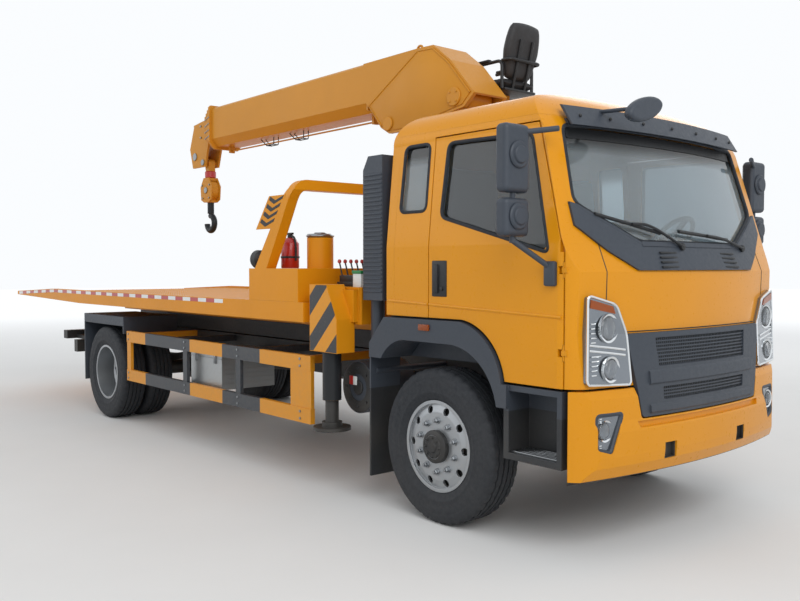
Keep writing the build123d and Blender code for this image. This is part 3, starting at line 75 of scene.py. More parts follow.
class Nodes:
    """Adds nodes to one material and links them by short calls."""

    def __init__(self, name):
        self.material = bpy.data.materials.new(name)
        self.material.use_nodes = True
        self.tree = self.material.node_tree
        self.shader = self.tree.nodes["Principled BSDF"]
        self.place = self.add("ShaderNodeTexCoord").outputs["Object"]

    def add(self, kind, inputs=(), **settings):
        node = self.tree.nodes.new(kind)
        for key, value in settings.items():
            setattr(node, key, value)
        for key, value in dict(inputs).items():
            self.put(node.inputs[key], value)
        return node

    def put(self, socket, value):
        if isinstance(value, bpy.types.NodeSocket):
            self.tree.links.new(value, socket)
        else:
            socket.default_value = value

    def set(self, name, value):
        """Links or sets one socket of the shader."""
        self.put(self.shader.inputs[name], value)

    def math(self, operation, a, b=0.0):
        return self.add("ShaderNodeMath", {0: a, 1: b}, operation=operation).outputs[0]

    def times(self, a, b):
        return self.math("MULTIPLY", a, b)

    def noise(self, scale, detail=3.0, rough=0.55):
        inputs = {"Vector": self.place, "Scale": scale, "Detail": detail, "Roughness": rough}
        return self.add("ShaderNodeTexNoise", inputs).outputs["Fac"]

    def span(self, value, low, high, to_low=0.0, to_high=1.0):
        inputs = {0: value, 1: low, 2: high, 3: to_low, 4: to_high}
        return self.add("ShaderNodeMapRange", inputs).outputs[0]

    def mix(self, share, first, second):
        return self.add("ShaderNodeMix", {0: share, 6: first, 7: second}, data_type="RGBA").outputs[2]

    def axis(self, name):
        return self.add("ShaderNodeSeparateXYZ", {0: self.place}).outputs[name]

    def bump(self, height, strength, distance=0.002, normal=None):
        inputs = {"Height": height, "Strength": strength, "Distance": distance}
        if normal:
            inputs["Normal"] = normal
        self.set("Normal", self.add("ShaderNodeBump", inputs).outputs[0])

    def edges(self, radius):
        """Normals rounded along the edges, and how far they turn from the flat ones."""
        soft = self.add("ShaderNodeBevel", {"Radius": radius}, samples=4).outputs[0]
        flat = self.add("ShaderNodeNewGeometry").outputs["Normal"]
        node = self.add("ShaderNodeVectorMath", {0: soft, 1: flat}, operation="DOT_PRODUCT")
        return soft, self.span(node.outputs["Value"], 0.985, 0.85)


DUST = (150, 140, 125)
DUST_HEIGHTS = (1.3, 0.2)  # no dust at the first height, all of it at the second
CLOUD = (1.7, 4.0)  # scale and detail of the broad mottling
FINE = (38.0, 5.0, 0.65)  # scale, detail and roughness of the fine mottling
EDGE_RADIUS = 0.006
COAT_ROUGH = 0.06


def surface(
    name, rgb, rough, metal=0.0, coat=0.0, vary=0.05, grain=(600, 0.05),
    dust=0.0, wear=0.0, below=None, shine=0.5,
):
    """A plain finish: mottled colour and gloss, fine grain, dust low down and worn edges.

    grain is its scale and depth. below gives a height and the colour under it."""
    n = Nodes(name)
    cloud = n.noise(*CLOUD)
    fine = n.noise(*FINE)
    colour = n.mix(cloud, linear(scaled(rgb, 1 - vary)), linear(scaled(rgb, 1 + vary)))
    if below:
        height, other = below
        under = n.math("LESS_THAN", n.axis("Z"), height)
        colour = n.mix(under, colour, linear(other))
    if dust:
        low = n.span(n.axis("Z"), *DUST_HEIGHTS)
        share = n.times(n.times(low, n.span(cloud, 0.3, 0.8)), dust)
        colour = n.mix(share, colour, linear(DUST))
    soft = None
    if wear:
        soft, edge = n.edges(EDGE_RADIUS)
        share = n.times(edge, n.span(fine, 0.42, 0.68, 0.0, wear))
        colour = n.mix(share, colour, linear(scaled(rgb, 1.3)))
    n.set("Base Color", colour)
    n.set("Roughness", n.span(fine, 0.3, 0.7, rough * 0.85, min(1.0, rough * 1.18)))
    n.set("Metallic", metal)
    n.set("Coat Weight", coat)
    n.set("Coat Roughness", COAT_ROUGH)
    n.set("Specular IOR Level", shine)
    scale, depth = grain
    n.bump(n.noise(scale, 2.0), depth, 0.001, soft)
    return n


def plain(name, rgb, **settings):
    return surface(name, rgb, **settings).material


YELLOW = (221, 146, 14)
BED_YELLOW = (220, 143, 18)
CRANE_YELLOW = (203, 138, 38)
GREY = (52, 59, 69)
DARK = (34, 37, 41)
CAB = dict(rough=0.3, coat=0.16, vary=0.025, grain=(900, 0.03), dust=0.06, wear=0.2, shine=0.2)
STEEL = dict(rough=0.42, coat=0.08, vary=0.05, grain=(260, 0.07), dust=0.12, wear=0.35, shine=0.2)
PLASTIC = dict(rough=0.5, vary=0.07, grain=(1500, 0.2), dust=0.15, wear=0.25)
# Heights under which these are dark: bumper, outrigger beams, hook block and fenders
BUMPER_FOOT = 0.476
BEAM_FOOT = 1.046
BLOCK_FOOT = 2.418
FENDER_FOOT = 0.82
paint = plain("cab_paint", YELLOW, **CAB)
bumper_paint = plain("bumper_paint", YELLOW, below=(BUMPER_FOOT, DARK), **CAB)
steel = plain("steel_paint", BED_YELLOW, **STEEL)
jack_paint = plain("jack_paint", BED_YELLOW, below=(BEAM_FOOT, DARK), **STEEL)
crane_paint = plain("crane_paint", CRANE_YELLOW, **STEEL)
hook_paint = plain("hook_paint", CRANE_YELLOW, below=(BLOCK_FOOT, DARK), **STEEL)
plastic = plain("grey_plastic", GREY, **PLASTIC)
fender_plastic = plain("fender_plastic", GREY, below=(FENDER_FOOT, DARK), **PLASTIC)
black = plain("chassis_black", (26, 28, 31), rough=0.5, vary=0.15, grain=(420, 0.15), dust=0.3, wear=0.5)
rubber = plain("tyre_rubber", (31, 35, 41), rough=0.74, vary=0.14, grain=(750, 0.35), dust=0.07)
silver = plain(
    "wheel_silver", (168, 172, 176), rough=0.36, metal=0.75, vary=0.06, grain=(900, 0.10), dust=0.3, wear=0.3
)
bare = plain("bare_steel", (150, 153, 156), rough=0.3, metal=1.0, vary=0.08, grain=(500, 0.12))
chrome = plain("bright_chrome", (225, 228, 230), rough=0.12, metal=1.0, vary=0.02, grain=(300, 0.02))
bowl = plain("lamp_bowl", (126, 132, 139), rough=0.22, metal=0.8, coat=0.8, vary=0.1, grain=(240, 0.25))
seat = plain("seat_vinyl", (40, 40, 42), rough=0.6, vary=0.12, grain=(420, 0.5), wear=0.3)
trim = plain("cab_trim", (62, 64, 67), rough=0.65, vary=0.08, grain=(1100, 0.3))
red = plain("red_paint", (176, 34, 30), rough=0.35, coat=0.4, vary=0.06, grain=(500, 0.06))
white = plain("white_paint", (226, 228, 226), rough=0.4, coat=0.2, vary=0.03, grain=(500, 0.06))
green = plain("green_paint", (34, 128, 70), rough=0.45, vary=0.06, grain=(500, 0.08))
rope_steel = plain("rope_steel", (96, 98, 100), rough=0.45, metal=0.8, vary=0.15, grain=(260, 0.8))

GLASS_IOR = 1.45
SHADE_LEFT = 0.42  # the share of its colour that the glass keeps in its dark band, which is painted shade
WINDSCREEN_SHADE = (2.33, 2.4)  # heights where the dark band of painted shade begins and where it is full


def glass(name, rgb, clear=0.9, rough=0.02, shade=None):
    """Lamp lenses and window panes, with a faint ripple and a dark band over a height: a tinted band and
    painted shade of the dark cab roof behind the pane.
    """
    n = Nodes(name)
    cloud = n.noise(3.0, 3.0)
    tint = n.mix(cloud, linear(scaled(rgb, 0.93)), linear(rgb))
    # painted shade: over the band's heights the pane turns dark, standing in for the shaded roof inside
    if shade:
        tint = n.mix(n.span(n.axis("Z"), *shade), tint, linear(scaled(rgb, SHADE_LEFT)))
    n.set("Base Color", tint)
    n.set("Roughness", n.span(cloud, 0.3, 0.7, rough * 0.6, rough * 1.4))
    n.set("Transmission Weight", clear)
    n.set("IOR", GLASS_IOR)
    n.bump(n.noise(2.2, 1.0), 0.03, 0.002)
    return n.material


window = glass("window_glass", (206, 219, 225), 0.8, 0.0, WINDSCREEN_SHADE)
side_window = glass("side_glass", (122, 134, 142), 0.92, 0.0)
lens = glass("lamp_lens", (240, 243, 245), 0.94)
amber = glass("amber_lens", (206, 98, 20), 0.55, 0.1)
tail_red = glass("tail_lens", (190, 20, 18), 0.5, 0.1)


def banded(name, base, other, stops, low, high):
    """One finish whose colour changes at places along the truck, as painted bands do."""
    n = Nodes(name)
    ramp = n.add("ShaderNodeValToRGB", {0: n.span(n.axis("X"), low, high)})
    ramp.color_ramp.interpolation = "CONSTANT"
    points = ramp.color_ramp.elements
    points[0].position = 0.0
    points[0].color = linear(base)
    points[1].position = (stops[0] - low) / (high - low)
    points[1].color = linear(other)
    for index, place in enumerate(stops[1:]):
        point = points.new((place - low) / (high - low))
        point.color = linear(other if index % 2 else base)
    fine = n.noise(*FINE)
    share = n.times(n.span(fine, 0.4, 0.75), 0.16)
    n.set("Base Color", n.mix(share, ramp.outputs[0], linear(DUST)))
    n.set("Roughness", n.span(fine, 0.3, 0.7, 0.36, 0.5))
    n.bump(n.noise(300, 2.0), 0.1, 0.001)
    return n.material


def striped(name, first, second, slope, period, rough):
    """Slanted stripes over a plate seen from the side: colour changes along x + slope * z."""
    n = Nodes(name)
    along = n.math("ADD", n.axis("X"), n.times(n.axis("Z"), slope))
    wave = n.math("FRACT", n.math("DIVIDE", along, period))
    share = n.math("GREATER_THAN", wave, 0.5)
    fine = n.noise(45.0, 5.0, 0.65)
    colour = n.mix(share, linear(first), linear(second))
    worn = n.times(n.span(fine, 0.55, 0.75), 0.25)
    n.set("Base Color", n.mix(worn, colour, linear(DUST)))
    n.set("Roughness", n.span(fine, 0.3, 0.7, rough * 0.8, rough * 1.2))
    n.bump(n.noise(500, 2.0), 0.1, 0.001)
    return n.material


LOZENGE_RATE = 74.0


def checker_plate():
    """Dull aluminium with raised lozenges that point two ways."""
    n = surface("checker_aluminium", (176, 179, 180), 0.34, metal=0.9, vary=0.06, grain=(300, 0.1), dust=0.2)
    ways = []
    for slope in (1.0, -1.0):
        rise = n.times(n.axis("Z"), slope)
        along = n.times(n.math("ADD", n.axis("X"), rise), LOZENGE_RATE)
        across = n.times(n.math("SUBTRACT", n.axis("X"), rise), LOZENGE_RATE * slope)
        bar = n.math("LESS_THAN", n.math("ABSOLUTE", n.math("SINE", along)), 0.35)
        cut = n.math("GREATER_THAN", n.math("SINE", across), 0.1)
        ways.append(n.times(bar, cut))
    n.bump(n.math("MAXIMUM", ways[0], ways[1]), 0.8, 0.003)
    return n.material


GUARD_BANDS = [X(x) for x in (-4.25, -3.283, -2.664, -2.048)]
GUARD_ENDS = (-1.5, 2.5)
guard = banded("guard_bands", YELLOW, (50, 55, 62), GUARD_BANDS, *GUARD_ENDS)
hazard = striped("jack_stripes", YELLOW, (48, 50, 54), slope=-1.0, period=0.30, rough=0.45)
checker = checker_plate()

NODE_FINISH = {
    paint: "cab_roof cab_rear cab_front cab_sides door_right door_left",
    steel: "crane_base bed_headboard bed_deck",
    crane_paint: "crane_column boom_base boom_stage_2 boom_stage_3 boom_tip lift_barrel",
    bumper_paint: "bumper",
    jack_paint: "outrigger_right outrigger_left",
    hook_paint: "hook_block",
    plastic: "front_trim sun_visor air_intake mirrors_right mirrors_left rear_mudguards",
    fender_plastic: "front_fenders",
    black: (
        "chassis_frame front_axle rear_axle powertrain knuckle_right knuckle_left tie_rod tilt_frame"
        " wheel_lift tilt_barrels fuel_tank cab_floor jack_right jack_left"
    ),
    rubber: "front_tyre_right front_tyre_left rear_tyres_right rear_tyres_left",
    silver: "front_rim_right front_rim_left rear_rims_right rear_rims_left",
    bare: "lift_rod tilt_rods",
    checker: "battery_box",
    window: "cab_glass",
    side_window: "door_glass_right door_glass_left",
    bowl: "headlamps",
    seat: "operator_seat",
    trim: "cab_interior",
    guard: "side_guards",
}
for finish, names in NODE_FINISH.items():
    for name in names.split():
        NODES[name].data.materials.clear()
        NODES[name].data.materials.append(finish)


# Stage, light and camera
AIM = (0, 0, 1.5)
LIGHTS = (  # name, place, size and power
    ("key", (12, -5.5, 8.5), (9, 7), 640),
    ("fill", (-8, -10, 7), (9, 6), 170),
    ("back", (-4, 11, 8), (10, 6), 300),
)
for name, place, size, power in LIGHTS:
    lamp = bpy.data.lights.new(name, "AREA")
    lamp.shape = "RECTANGLE"
    lamp.size, lamp.size_y = size
    lamp.energy = power
    thing = bpy.data.objects.new(name, lamp)
    thing.location = place
    thing.rotation_euler = (Vector(AIM) - Vector(place)).to_track_quat("-Z", "Y").to_euler()
    bpy.context.collection.objects.link(thing)

SKY = (0.96, 0.98, 1.0, 1.0)
SKY_LIGHT = 0.62  # its strength as light on the truck
SKY_SEEN = 1.0  # its strength as the background, through glass and in what shines
world = bpy.data.worlds.new("studio")
bpy.context.scene.world = world
world.use_nodes = True
tree = world.node_tree
rays = tree.nodes.new("ShaderNodeLightPath")
seen = rays.outputs["Is Camera Ray"]
for kind in ("Is Transmission Ray", "Is Glossy Ray"):
    union = tree.nodes.new("ShaderNodeMath")
    union.operation = "MAXIMUM"
    tree.links.new(seen, union.inputs[0])
    tree.links.new(rays.outputs[kind], union.inputs[1])
    seen = union.outputs[0]
strength = tree.nodes.new("ShaderNodeMapRange")
tree.links.new(seen, strength.inputs[0])
strength.inputs[3].default_value = SKY_LIGHT
strength.inputs[4].default_value = SKY_SEEN
sky = tree.nodes["Background"]
tree.links.new(strength.outputs[0], sky.inputs["Strength"])
sky.inputs["Color"].default_value = SKY

FLOOR_HALF = 60
FADE = (7.0, 22.0)  # between these distances the floor turns into the sky
corners = [(x * FLOOR_HALF, y * FLOOR_HALF, 0) for x, y in ((-1, -1), (1, -1), (1, 1), (-1, 1))]
floor_mesh = bpy.data.meshes.new("floor")
floor_mesh.from_pydata(corners, [], [(0, 1, 2, 3)])
floor = bpy.data.objects.new("floor", floor_mesh)
bpy.context.collection.objects.link(floor)
ground = surface("studio_floor", (238, 238, 237), 0.9, vary=0.008, grain=(90, 0.04), shine=0.1)
distance = ground.add("ShaderNodeVectorMath", {0: ground.place}, operation="LENGTH").outputs["Value"]
far_share = ground.span(distance, *FADE)
ground.set("Emission Color", SKY)
ground.set("Emission Strength", far_share)
near_colour = ground.shader.inputs["Base Color"].links[0].from_socket
ground.set("Base Color", ground.mix(far_share, near_colour, (0.0, 0.0, 0.0, 1.0)))
floor.data.materials.append(ground.material)

YAW, PITCH = 49.453, -2.229
FOCAL, PICTURE_W = 862, 800  # in pixels of the photo
SENSOR = 36
camera_data = bpy.data.cameras.new("camera")
camera_data.sensor_width = SENSOR
camera_data.sensor_fit = "HORIZONTAL"
camera_data.lens = FOCAL / PICTURE_W * SENSOR
camera_data.clip_end = 300
camera = bpy.data.objects.new("camera", camera_data)
camera.location = (X(4.0585), -4.9021, 1.6676)
camera.rotation_euler = (math.radians(90 + PITCH), 0, math.radians(YAW))
bpy.context.collection.objects.link(camera)
bpy.context.scene.camera = camera
bpy.context.scene.view_settings.view_transform = "Standard"


# Shapes


def smooth_loop(points, by, closed=True, steps=5):
    """The same outline with its corners rounded by a distance."""
    out = []
    count = len(points)
    for i in range(count):
        here = Vector(points[i])
        if not closed and i in (0, count - 1):
            out.append(here)
            continue
        before = Vector(points[i - 1]) - here
        after = Vector(points[(i + 1) % count]) - here
        a = here + before.normalized() * min(by, before.length / 2.2)
        b = here + after.normalized() * min(by, after.length / 2.2)
        for step in range(steps + 1):
            t = step / steps
            out.append(a * (1 - t) ** 2 + here * 2 * t * (1 - t) + b * t * t)
    return out + out[:1] if closed else out


class Shape:
    """Gathers solids in one mesh, which then becomes one piece."""

    def __init__(self):
        self.bm = bmesh.new()

    def rounded(self, verts, by):
        if by:
            edges = list({edge for vert in verts for edge in vert.link_edges})
            bmesh.ops.bevel(self.bm, geom=edges, offset=by, segments=2, profile=0.5, affect="EDGES")

    def skin(self, rings, closed=False):
        """Joins rings of points by faces, on to the first ring again or with a flat face at each end."""
        rings = [[self.bm.verts.new(point) for point in ring] for ring in rings]
        faces = []
        if not closed:
            faces = [self.bm.faces.new(rings[0]), self.bm.faces.new(rings[-1])]
        following = rings[1:] + rings[:1] if closed else rings[1:]
        for first, second in zip(rings, following):
            for i in range(len(first)):
                faces.append(self.bm.faces.new((first[i - 1], first[i], second[i], second[i - 1])))
        bmesh.ops.recalc_face_normals(self.bm, faces=faces)
        return [vert for ring in rings for vert in ring]

    def box(self, low, high, by=0.0):
        low, high = Vector(low), Vector(high)
        verts = bmesh.ops.create_cube(self.bm, size=1.0)["verts"]
        place = Matrix.Translation((low + high) / 2) @ Matrix.Diagonal((*(high - low), 1.0))
        bmesh.ops.transform(self.bm, verts=verts, matrix=place)
        self.rounded(verts, by)

    def block(self, xs, side, ys, zs, by=0.0):
        """A box on one side of the truck: its ends along, out from the middle and up."""
        low, high = either(side, *ys)
        self.box((X(xs[0]), low, zs[0]), (X(xs[1]), high, zs[1]), by)

    def plate(self, points, axis, low, high, by=0.0):
        """A flat outline pulled along an axis: points are the two other coordinates, in order."""
        index = "XYZ".index(axis)
        rings = [[(*p[:index], height, *p[index:]) for p in points] for height in (low, high)]
        self.rounded(self.skin(rings), by)

    def lathe(self, profile, centre, axis="Y", steps=32, closed=True):
        """A profile of (radius, height) turned about an axis through centre."""
        index = "XYZ".index(axis)
        turns = [math.tau * step / steps for step in range(steps)]
        rings = []
        for radius, height in profile:
            ring = []
            for turn in turns:
                spot = [radius * math.cos(turn), radius * math.sin(turn)]
                spot.insert(index, height)
                ring.append(Vector(spot) + Vector(centre))
            rings.append(ring)
        return self.skin(rings, closed)

    def disc(self, radius, low, high, centre, axis="Y", steps=24, by=0.0):
        by = by or min(radius, high - low) * 0.12
        profile = [(radius - by, low), (radius, low + by), (radius, high - by), (radius - by, high)]
        self.lathe(profile, centre, axis, steps, closed=False)

    def stud(self, radius, side, near, far, spot, steps=24, by=0.0):
        """A disc on one side of the truck, between two distances from its middle."""
        self.disc(radius, *either(side, near, far), spot, "Y", steps, by)

    def tube(self, points, radius, steps=10):
        """A round bar along points, with flat ends."""
        points = [Vector(p) for p in points]
        rings = []
        side = None
        for i, point in enumerate(points):
            before = points[max(i - 1, 0)]
            after = points[min(i + 1, len(points) - 1)]
            along = (after - before).normalized()
            if side is None:
                side = along.orthogonal().normalized()
            side = (side - along * side.dot(along)).normalized()
            other = along.cross(side)
            ring = []
            for step in range(steps):
                angle = math.tau * step / steps
                offset = side * math.cos(angle) + other * math.sin(angle)
                ring.append(point + offset * radius)
            rings.append(ring)
        self.skin(rings)

    def bent(self, points, bend, radius, steps):
        """A round bar along points, with its corners rounded."""
        self.tube(smooth_loop(points, bend, closed=False), radius, steps)

    def piece(self, name, body, finish, slot, sharp=35):
        mesh = bpy.data.meshes.new(name)
        self.bm.to_mesh(mesh)
        self.bm.free()
        mesh.materials.append(finish)
        thing = bpy.data.objects.new(name, mesh)
        bpy.context.collection.objects.link(thing)
        mesh.shade_smooth()
        mesh.set_sharp_from_angle(angle=math.radians(sharp))
        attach(thing, body)
        return thing


# Where the cab's skin lies, in metres from the front axle
NOSE_AXIS = 1.252 - 5.2  # the nose is bowed about this place
NOSE_LINE = ((0.7, 1.246), (0.99, 1.236), (1.29, 1.214), (1.64, 1.222), (1.8, 1.16), (2.47, 0.96))
FLANK = 1.14
LEAN_FROM = 1.8
LEAN = 0.065 / 0.68


def bowed(middle, y):
    """The place of a bowed line along the truck, from its place in the middle."""
    return FRONT + NOSE_AXIS + math.sqrt((middle - NOSE_AXIS) ** 2 - y * y)


def nose_x(y, z, proud=0.0):
    """The nose's place along the truck at a height and a distance from its middle."""
    for (z0, x0), (z1, x1) in zip(NOSE_LINE, NOSE_LINE[1:]):
        if z <= z1 or z1 == NOSE_LINE[-1][0]:
            middle = x0 + (x1 - x0) * (z - z0) / (z1 - z0)
            break
    return bowed(middle + proud, y)


def on_nose(points, proud=0.0):
    """Points, each a distance from the middle and a height, laid on the nose."""
    return [(nose_x(y, z, proud), y, z) for y, z in points]


def nose_strip(shape, ys, low, high, near, far):
    """A strip laid on the nose between two heights, through places from its middle."""
    corners = ((low, near), (high, near), (high, far), (low, far))
    shape.skin([[(nose_x(y, z, off), y, z) for z, off in corners] for y in ys])


def flank_y(z, proud=0.0):
    return FLANK - max(0.0, z - LEAN_FROM) * LEAN + proud


# Tyres with a road tread, in the place of the plain ones
TYRE_R = 0.506
TREAD = (
    (0.2875, 0.097), (0.300, 0.110), (0.318, 0.121), (0.345, 0.130), (0.350, 0.1335), (0.358, 0.1335),
    (0.363, 0.132), (0.395, 0.1365), (0.425, 0.1375), (0.432, 0.1355), (0.440, 0.1355), (0.446, 0.1365),
    (0.468, 0.131), (0.486, 0.1225), (0.497, 0.113), (0.5035, 0.104), (0.505, 0.090), (0.5055, 0.073),
    (0.4925, 0.071), (0.4925, 0.062), (0.5055, 0.060), (0.506, 0.044), (0.506, 0.027), (0.4925, 0.025),
    (0.4925, 0.016), (0.506, 0.014),
)
LUGS = 40
STEPS_PER_LUG = 4
TREAD_R = 0.496  # points farther out than this can be cut
SHOULDER_W, SHOULDER_CUT = 0.072, 0.009
RIB_W, RIB_CUT = (0.026, 0.061), 0.005
MIDDLE_W = 0.03  # inside this the cuts are half a lug behind


def tyre(shape, x, y):
    """A tyre of revolution whose tread is then cut across by moving points inwards."""
    profile = list(TREAD) + [(r, -w) for r, w in reversed(TREAD)]
    steps = LUGS * STEPS_PER_LUG
    for index, vert in enumerate(shape.lathe(profile, (x, y, TYRE_R), "Y", steps)):
        spot, step = divmod(index, steps)
        radius, width = profile[spot]
        width = abs(width)
        shift = STEPS_PER_LUG // 2 if width < MIDDLE_W else 0
        if radius <= TREAD_R or (step + shift) % STEPS_PER_LUG:
            continue
        if width > SHOULDER_W:
            depth = SHOULDER_CUT
        elif RIB_W[0] < width < RIB_W[1]:
            depth = RIB_CUT
        else:
            continue
        out = Vector((vert.co.x - x, 0, vert.co.z - TYRE_R)).normalized()
        vert.co -= out * depth


REAR = X(-5.3)
WHEELS = (  # wheel, node of its tyres, place along, tyres' middles, disc's face, hub's end, hub's radius
    ("front", "front_tyre", FRONT, (1.0,), 1.11, 1.152, 0.086),
    ("rear", "rear_tyres", REAR, (1.065, 0.755), 0.922, 1.03, 0.106),
)
NUT_CIRCLE = 0.1675
NUT_PARTS = ((0.024, -0.002, 0.006, 16), (0.0165, 0.0, 0.026, 6), (0.0105, 0.0, 0.038, 10))
DRUM = ((0.2, 1.068), (0.262, 1.068), (0.262, 1.02), (0.255, 1.02), (0.255, 1.062), (0.2, 1.062))
for name, side in SIDES:
    for wheel, node, x, tyres, face, hub, rim in WHEELS:
        body = f"{wheel}_wheel_{name}"
        middle = (x, 0, TYRE_R)
        tread = Shape()
        for y in tyres:
            tyre(tread, x, side * y)
        thing = tread.piece(f"{wheel}_tread_{name}", body, rubber, "tyre", 40)
        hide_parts(f"{node}_{name}")
        nuts = Shape()
        for spot in around(x, TYRE_R, NUT_CIRCLE, 10, 0.5):
            for radius, near, far, steps in NUT_PARTS:
                nuts.stud(radius, side, face + near, face + far, spot, steps)
        nuts.piece(f"{wheel}_nuts_{name}", body, bare, "wheel_silver")
        cap = Shape()
        cap.stud(rim - 0.004, side, hub - 0.05, hub + 0.006, middle, 32, 0.012)
        cap.stud(rim * 0.45, side, hub, hub + 0.014, middle, 24, 0.006)
        for spot in around(x, TYRE_R, rim * 0.72, 8):
            cap.stud(0.008, side, hub, hub + 0.014, spot, 6)
        collar = rim + 0.019
        sleeve = (
            (collar - 0.001, face + 0.001), (collar + 0.0025, face + 0.001), (collar + 0.0025, hub - 0.0115),
            (rim + 0.001, hub + 0.0025), (rim - 0.008, hub + 0.0025), (rim - 0.008, hub - 0.002),
            (collar - 0.001, hub - 0.013),
        )
        cap.lathe([(r, side * y) for r, y in sleeve], middle, "Y", 40)
        cap.piece(f"{wheel}_hub_cap_{name}", body, black, "chassis_black")
    drum = Shape()
    drum.lathe([(r, side * y) for r, y in DRUM], (FRONT, 0, TYRE_R), "Y", 48)
    drum.piece(f"brake_drum_{name}", f"front_wheel_{name}", black, "chassis_black")

# Rubber seals round the panes
PANE_CORNER = 0.05
WINDSCREEN = ((0.54, 1.815), (0.88, 1.975), (0.99, 2.035), (0.938, 2.49))
WINDOWS = {
    "door": ((0.068, 2.455), (0.04, 1.985), (0.94, 1.745), (0.76, 2.44)),
    "quarter": ((-0.364, 2.03), (-0.105, 2.03), (-0.105, 2.47), (-0.35, 2.47)),
}
outline = [(-y, z) for y, z in WINDSCREEN] + [(y, z) for y, z in reversed(WINDSCREEN)]
seal = Shape()
seal.tube(on_nose(smooth_loop(outline, PANE_CORNER), -0.006), 0.013, 8)
seal.piece("windscreen_seal", "chassis", rubber, "dark_plastic")
for name, side in SIDES:
    for pane, points in WINDOWS.items():
        seal = Shape()
        loop = smooth_loop(points, PANE_CORNER)
        seal.tube([(X(x), side * flank_y(z, -0.004), z) for x, z in loop], 0.012, 8)
        body = f"door_{name}" if pane == "door" else "chassis"
        seal.piece(f"{pane}_seal_{name}", body, rubber, "dark_plastic")

# Door handles, belt lines, lamps, fender seals and mirror faces on each flank
BELT_START = (-0.48, 1.44)
BELT_FALL = 0.034
MIRROR_Y = 1.34
MIRROR_FACE_X = (0.7985, 0.8005)
for name, side in SIDES:
    door = f"door_{name}"
    handle = Shape()
    handle.block((-0.02, 0.115), side, (FLANK - 0.01, FLANK + 0.006), (1.478, 1.708), 0.006)
    handle.block((-0.005, 0.045), side, (FLANK + 0.004, FLANK + 0.02), (1.50, 1.686), 0.007)
    low, high = either(side, FLANK + 0.004, FLANK + 0.02)
    handle.disc(0.012, low, high - 0.004 * side, (X(0.08), 0, 1.53), "Y", 16)
    handle.piece(f"door_handle_{name}", door, black, "dark_plastic")
    for label, body, x0, x1 in (("door", door, -0.05, 1.03), ("quarter", "chassis", -0.47, -0.066)):
        bead = Shape()
        y = side * (FLANK - 0.004)
        xs = (x0, (x0 + x1) / 2, x1)
        bead.tube([(X(x), y, BELT_START[1] - BELT_FALL * (x - BELT_START[0])) for x in xs], 0.011, 8)
        bead.piece(f"{label}_belt_{name}", body, paint, "yellow_paint")
    lamp = Shape()
    lamp.block((-0.125, -0.025), side, (1.158, 1.172), (1.255, 1.296), 0.005)
    lamp.piece(f"fender_lamp_{name}", "chassis", amber, "lamp")
    seal = Shape()
    seal.block((-0.48, 0.27), side, (1.05, 1.1), (1.296, 1.342), 0.004)
    seal.piece(f"fender_seal_{name}", "chassis", rubber, "dark_plastic")
    faces = Shape()
    for heights in ((2.10, 2.425), (1.86, 2.02)):
        faces.block(MIRROR_FACE_X, side, (1.26, 1.42), heights)
    faces.piece(f"mirror_faces_{name}", door, chrome, "dark_plastic")
    knuckles = Shape()
    for z in (2.28, 1.945):
        knuckles.disc(0.075, X(0.885), X(0.905), (0, side * MIRROR_Y, z), "X", 28, 0.008)
        knuckles.disc(0.05, X(0.9), X(0.915), (0, side * MIRROR_Y, z), "X", 24, 0.006)
    knuckles.block((0.925, 1.0), side, (1.135, 1.175), (1.56, 1.70), 0.012)
    knuckles.piece(f"mirror_knuckles_{name}", door, plastic, "dark_plastic")

# Wipers and louvres at the foot of the windscreen
WIPERS = (  # pivot, elbow, blade ends: distance from the middle and height
    ((-0.19, 1.79), (-0.465, 1.918), (-0.876, 1.969), (-0.36, 1.868)),
    ((0.589, 1.79), (0.314, 1.852), (-0.171, 1.885), (0.407, 1.845)),
)
wipers = Shape()
for pivot, elbow, near, far in WIPERS:
    y, z = pivot
    wipers.disc(0.022, nose_x(y, z), nose_x(y, z) + 0.04, (0, y, z), "X", 16)
    middle = ((near[0] + far[0]) / 2, (near[1] + far[1]) / 2)
    arm = on_nose((pivot, elbow, middle), 0.035)
    wipers.bent(arm, 0.1, 0.009, 8)
    wipers.tube(on_nose((near, middle, far), 0.016), 0.012, 6)
wipers.piece("wipers", "chassis", black, "dark_plastic")
louvres = Shape()
for side in (-1, 1):
    for k in range(4):
        z = 1.668 + 0.028 * k
        y0, y1 = either(side, 0.27 - 0.006 * k, 0.44 - 0.006 * k)
        x = nose_x((y0 + y1) / 2, z, 0.0165)
        louvres.box((x - 0.02, y0, z - 0.006), (x + 0.006, y1, z + 0.006), 0.003)
louvres.piece("cowl_louvres", "chassis", black, "dark_plastic")

# Lamps on the nose: outlines are distances from the middle and heights
HEADLAMP = ((0.735, 1.0), (0.752, 1.29), (0.835, 1.455), (1.045, 1.51), (1.062, 1.015))
HEADLAMP_BAR = ((0.775, 1.20), (0.88, 1.215), (1.04, 1.235))
ROUND_LAMPS = ((0.90, 1.325, 0.07), (0.895, 1.095, 0.062))
RIBS = ((0.985, 1.12, 0.05), (0.985, 1.3, 0.045))
TURN_LAMP = ((0.85, 1.405), (0.868, 1.447), (1.03, 1.487), (1.035, 1.44))
FOG = ((0.80, 0.845), (1.0, 0.845), (1.0, 0.65), (0.895, 0.62))
LAMP_CORNER = 0.03
DOME = (0.0, 0.3, 0.6, 0.9, 1.2, 1.5)  # angles up a domed lens


def round_lamp(ring, pane, spot, radius, lip, rise, steps):
    """A bright ring on the nose with a domed lens in it."""
    profile = [(radius, 0.0), (radius + lip, 0.0), (radius + lip - 0.002, 0.016), (radius, 0.012)]
    ring.lathe(profile, spot, "X", steps + 4)
    dome = [(radius * math.cos(a), rise * math.sin(a)) for a in DOME]
    pane.lathe(dome, (spot[0] + 0.002, spot[1], spot[2]), "X", steps, closed=False)


